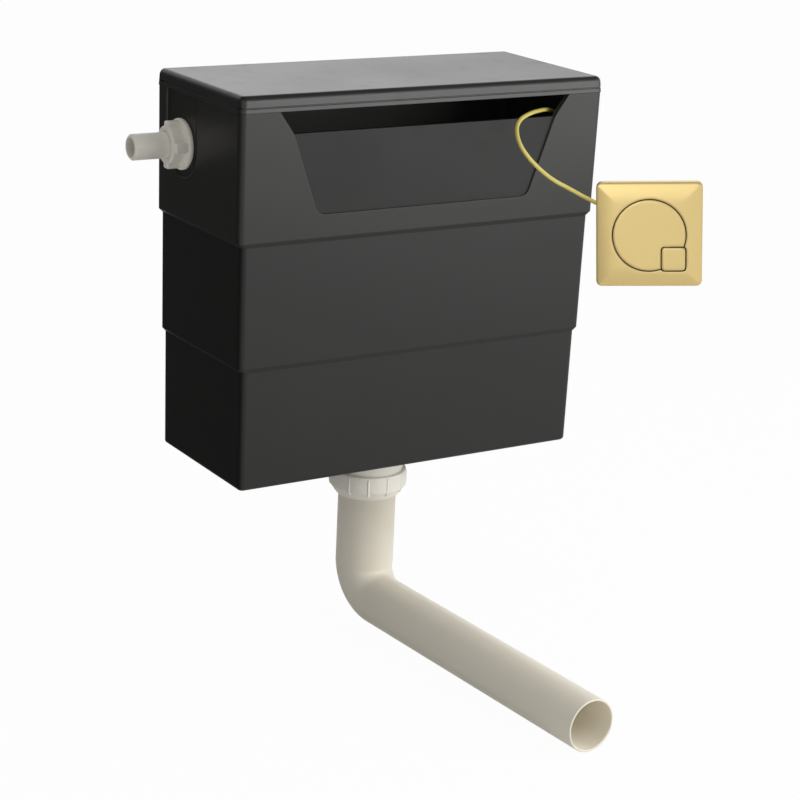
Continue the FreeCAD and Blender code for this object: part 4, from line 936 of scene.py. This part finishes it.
class CISTERN_OT_pipe(bpy.types.Operator):
    """Bent flush pipe with a rounded lip at its open end"""

    bl_idname = "cistern.pipe"
    bl_label = "Flush pipe"

    segments = 72
    bend_steps = 20
    lip_steps = 6

    def stations(self, sizes):
        """Places along the pipe's middle line, each with its direction and outside radius."""
        down = Vector((0, 0, -1))
        out = Vector((math.sin(sizes.pipe_turn), -math.cos(sizes.pipe_turn), 0))
        collar_foot = sizes.pipe_top + sizes.collar_height
        bend_start = sizes.pipe_drop - sizes.pipe_bend
        found = [
            (down * sizes.pipe_top, down, sizes.collar_radius),
            (down * collar_foot, down, sizes.collar_radius),
            (down * collar_foot, down, sizes.pipe_radius_top),
        ]
        for step in range(self.bend_steps + 1):
            share = step / self.bend_steps
            angle = share * math.pi / 2
            place = (down * (bend_start + sizes.pipe_bend * math.sin(angle))
                     + out * sizes.pipe_bend * (1 - math.cos(angle)))
            way = down * math.cos(angle) + out * math.sin(angle)
            radius = sizes.pipe_radius_top + (sizes.pipe_radius_run - sizes.pipe_radius_top) * share
            found.append((place, way, radius))
        end = sizes.pipe_reach - sizes.pipe_wall / 2
        found.append((down * sizes.pipe_drop + out * end, out, sizes.pipe_radius_run))
        return found

    def ring(self, place, way, radius):
        """Circle of points round a station."""
        side = Vector((math.cos(self.turn), math.sin(self.turn), 0))
        up = side.cross(way)
        points = []
        for index in range(self.segments):
            angle = 2 * math.pi * index / self.segments
            points.append(place + side * radius * math.cos(angle) + up * radius * math.sin(angle))
        return points

    def execute(self, context):
        sizes = context.scene.cistern_sizes
        self.turn = sizes.pipe_turn
        stations = self.stations(sizes)
        rings = [self.ring(place, way, radius) for place, way, radius in stations]
        place, way, radius = stations[-1]
        lip = sizes.pipe_wall / 2
        for step in range(1, self.lip_steps):
            angle = math.pi * step / self.lip_steps
            out = place + way * lip * math.sin(angle)
            rings.append(self.ring(out, way, radius - lip * (1 - math.cos(angle))))
        inner = stations[2:]
        top = (stations[0][0], stations[0][1], stations[2][2])
        for place, way, radius in inner[::-1] + [top]:
            rings.append(self.ring(place, way, radius - sizes.pipe_wall))
        pipe = place_piece("pipe", loop_mesh("pipe", rings, True), OUTLET_AXIS, "flush_pipe")
        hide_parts("flush_pipe", "pipe_upright", "pipe_elbow")
        return {"FINISHED"}


class CISTERN_OT_coupling_nut(bpy.types.Operator):
    """Tapered coupling nut with rounded grip ribs"""

    bl_idname = "cistern.coupling_nut"
    bl_label = "Coupling nut"

    # Heights from the tank's floor, and radii
    top = -0.0215
    shoulder = -0.036
    bottom = -0.044
    radius = 0.0329
    bottom_radius = 0.0272
    bore = 0.0301
    collar_bore = 0.0278
    collar_top = -0.035
    collar_bottom = -0.038
    pipe_bore = 0.0253

    # Steps across a rib's rounded back, and how deep its back and its root are sunk
    rib_steps = 8
    rib_sink = 0.0002
    rib_root = 0.0012

    def rib(self, sizes):
        """One rib, half sunk in the nut's side, that runs down the side and the taper."""
        # Radius and height of the nut's side, and the share of the rib's full height there
        line = [
            (self.radius, self.top - 0.0012, 0.15),
            (self.radius, self.top - 0.0026, 1.0),
            (self.radius, self.shoulder + 0.002, 1.0),
            (self.radius - 0.0006, self.shoulder - 0.002, 1.0),
            (self.bottom_radius + 0.0006, self.bottom + 0.003, 0.8),
            (self.bottom_radius, self.bottom + 0.0012, 0.1),
        ]
        rings = []
        for radius, height, share in line:
            ring = []
            for step in range(self.rib_steps + 1):
                aside = step / self.rib_steps - 0.5
                lift = sizes.rib_proud * share * math.cos(math.pi * aside)
                ring.append((radius + lift - self.rib_sink, aside * sizes.rib_width, height))
            ring.append((radius - self.rib_root, sizes.rib_width / 2, height))
            ring.append((radius - self.rib_root, -sizes.rib_width / 2, height))
            rings.append(ring)
        return loop_mesh("coupling_ribs", rings, False)

    def execute(self, context):
        sizes = context.scene.cistern_sizes
        outline = rounded_profile([
            (self.bore, self.top, 0.0004),
            (self.radius, self.top, 0.0014),
            (self.radius, self.shoulder, 0.0025),
            (self.bottom_radius, self.bottom, 0.0008),
            (self.pipe_bore, self.bottom, 0.0004),
            (self.pipe_bore, self.collar_bottom, 0.0),
            (self.collar_bore, self.collar_bottom, 0.0),
            (self.collar_bore, self.collar_top, 0.0),
            (self.bore, self.collar_top, 0.0),
        ])
        turned = lathe("coupling_nut_body", outline)
        body = place_piece("coupling_nut_body", turned, OUTLET_AXIS, "coupling_nut")
        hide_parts("coupling_nut")
        turn = 2 * math.pi / sizes.rib_count
        ribs = repeated(self.rib(sizes), sizes.rib_count, (0, 0, 0), turn, SLOT_OF["coupling_nut"])
        place_piece("coupling_nut_ribs", ribs, OUTLET_AXIS, "coupling_nut")
        return {"FINISHED"}


class CISTERN_OT_inlet_nut(bpy.types.Operator):
    """Flanged inlet nut with rounded grip lugs"""

    bl_idname = "cistern.inlet_nut"
    bl_label = "Inlet nut"

    # Radii, and lengths from the tank's side outwards
    bore = 0.01053
    flange_radius = 0.0206
    flange = 0.004
    core_radius = 0.0155
    length = 0.0155
    lug_reach = 0.0190
    lug_width = 0.008

    # How far a lug is sunk in the core, how much shorter it is than the nut, and its rounded edges
    lug_root = 0.002
    lug_short = 0.0006
    lug_edge = 0.0016

    def lug(self):
        """One lug as a softened block from the core outwards."""
        mesh = bpy.data.meshes.new("inlet_lugs")
        build = bmesh.new()
        bmesh.ops.create_cube(build, size=1.0)
        reach = self.lug_reach - self.core_radius + self.lug_root
        size = Matrix.Diagonal((reach, self.lug_width, self.length - self.lug_short, 1.0))
        centre = Matrix.Translation((self.lug_reach - reach / 2, 0, self.length / 2))
        bmesh.ops.transform(build, matrix=centre @ size, verts=build.verts)
        bmesh.ops.bevel(
            build, geom=build.edges, offset=self.lug_edge, segments=4, profile=0.5, affect="EDGES")
        build.to_mesh(mesh)
        build.free()
        return mesh

    def execute(self, context):
        sizes = context.scene.cistern_sizes
        outline = rounded_profile([
            (self.bore, 0.0, 0.0),
            (self.flange_radius, 0.0, 0.0012),
            (self.flange_radius, self.flange, 0.0014),
            (self.core_radius, self.flange, 0.0012),
            (self.core_radius, self.length, 0.0014),
            (self.bore, self.length, 0.0005),
        ])
        turned = lathe("inlet_nut_body", outline)
        body = place_piece("inlet_nut_body", turned, INLET_AXIS, "inlet_nut")
        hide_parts("inlet_nut")
        turn = 2 * math.pi / sizes.lug_count
        lugs = repeated(self.lug(), sizes.lug_count, (0, 0, 0), turn, SLOT_OF["inlet_nut"])
        place_piece("inlet_nut_lugs", lugs, INLET_AXIS, "inlet_nut")
        return {"FINISHED"}


class CISTERN_OT_sleeve_thread(bpy.types.Operator):
    """Thread on the plate's sleeve, along which the clamp ring screws"""

    bl_idname = "cistern.sleeve_thread"
    bl_label = "Sleeve thread"

    # The sleeve, the first ridge's place behind the plate, and one ridge's section
    sleeve_radius = 0.031
    first_ridge = -0.0500
    ridge_height = 0.0006
    ridge_foot = 0.0009
    ridge_root = 0.0004
    ridge_edge = 0.0002
    segments = 80

    def execute(self, context):
        sizes = context.scene.cistern_sizes
        sunk = self.sleeve_radius - self.ridge_root
        proud = self.sleeve_radius + self.ridge_height
        outline = rounded_profile([
            (sunk, -self.ridge_foot, 0.0),
            (proud, -self.ridge_foot / 3, self.ridge_edge),
            (proud, self.ridge_foot / 3, self.ridge_edge),
            (sunk, self.ridge_foot, 0.0),
        ], 2)
        ridge = lathe("sleeve_thread", outline, self.segments)
        step = (0, 0, sizes.thread_pitch)
        thread = repeated(ridge, sizes.thread_count, step, 0.0, SLOT_OF["button_housing"])
        seat = PLATE_AXIS @ Matrix.Translation((0, 0, self.first_ridge))
        place_piece("sleeve_thread", thread, seat, "button_housing")
        return {"FINISHED"}


class CISTERN_OT_springs(bpy.types.Operator):
    """Return springs behind the buttons, each copied into a piece of its own"""

    bl_idname = "cistern.springs"
    bl_label = "Return springs"

    # Share of its free length that a spring keeps when its button is fully pressed
    pressed = {"full_flush_spring": 0.64, "half_flush_spring": 0.70}

    def execute(self, context):
        for joint in frame["record"]["behaviour"]["joints"]:
            for entry in joint.get("deforming_nodes", ()):
                node = entry["node"]
                mesh = frame["nodes"][node].data.copy()
                coil = place_piece(node.replace("spring", "coil"), mesh, Matrix.Identity(4), node)
                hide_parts(node)
                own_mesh(coil)
        return {"FINISHED"}


class CISTERN_OT_finishes(bpy.types.Operator):
    """Finish of every piece that is shown as it was packed"""

    bl_idname = "cistern.finishes"
    bl_label = "Finishes"

    def execute(self, context):
        for node, piece in frame["nodes"].items():
            piece.data.materials.clear()
            piece.data.materials.append(finish_of(SLOT_OF[node]))
            if node in PLATE_NODES:
                keep_off(piece)
        return {"FINISHED"}


class CISTERN_PT_pieces(bpy.types.Panel):
    """Pieces, sizes and colours of the cistern"""

    bl_label = "Cistern"
    bl_idname = "CISTERN_PT_pieces"
    bl_space_type = "VIEW_3D"
    bl_region_type = "UI"
    bl_category = "Cistern"

    def draw(self, context):
        for operator in OPERATORS:
            self.layout.operator(operator.bl_idname)
        for group in (context.scene.cistern_sizes, context.scene.cistern_finishes):
            for key in group.bl_rna.properties.keys():
                if key not in ("rna_type", "name"):
                    self.layout.prop(group, key)


OPERATORS = (
    CISTERN_OT_stage,
    CISTERN_OT_finishes,
    CISTERN_OT_cable,
    CISTERN_OT_pipe,
    CISTERN_OT_coupling_nut,
    CISTERN_OT_inlet_nut,
    CISTERN_OT_sleeve_thread,
    CISTERN_OT_springs,
)
CLASSES = (CisternSizes, CisternFinishes) + OPERATORS + (CISTERN_PT_pieces,)


def register():
    """Adds the classes and their settings."""
    for cls in CLASSES:
        bpy.utils.register_class(cls)
    bpy.types.Scene.cistern_sizes = bpy.props.PointerProperty(type=CisternSizes)
    bpy.types.Scene.cistern_finishes = bpy.props.PointerProperty(type=CisternFinishes)


def unregister():
    """Takes the classes and their settings away."""
    del bpy.types.Scene.cistern_finishes
    del bpy.types.Scene.cistern_sizes
    for cls in reversed(CLASSES):
        bpy.utils.unregister_class(cls)


def main():
    """Builds every piece in order."""
    register()
    bpy.ops.cistern.stage()
    bpy.ops.cistern.finishes()
    bpy.ops.cistern.cable()
    bpy.ops.cistern.pipe()
    bpy.ops.cistern.coupling_nut()
    bpy.ops.cistern.inlet_nut()
    bpy.ops.cistern.sleeve_thread()
    bpy.ops.cistern.springs()


if __name__ == "__main__":
    main()
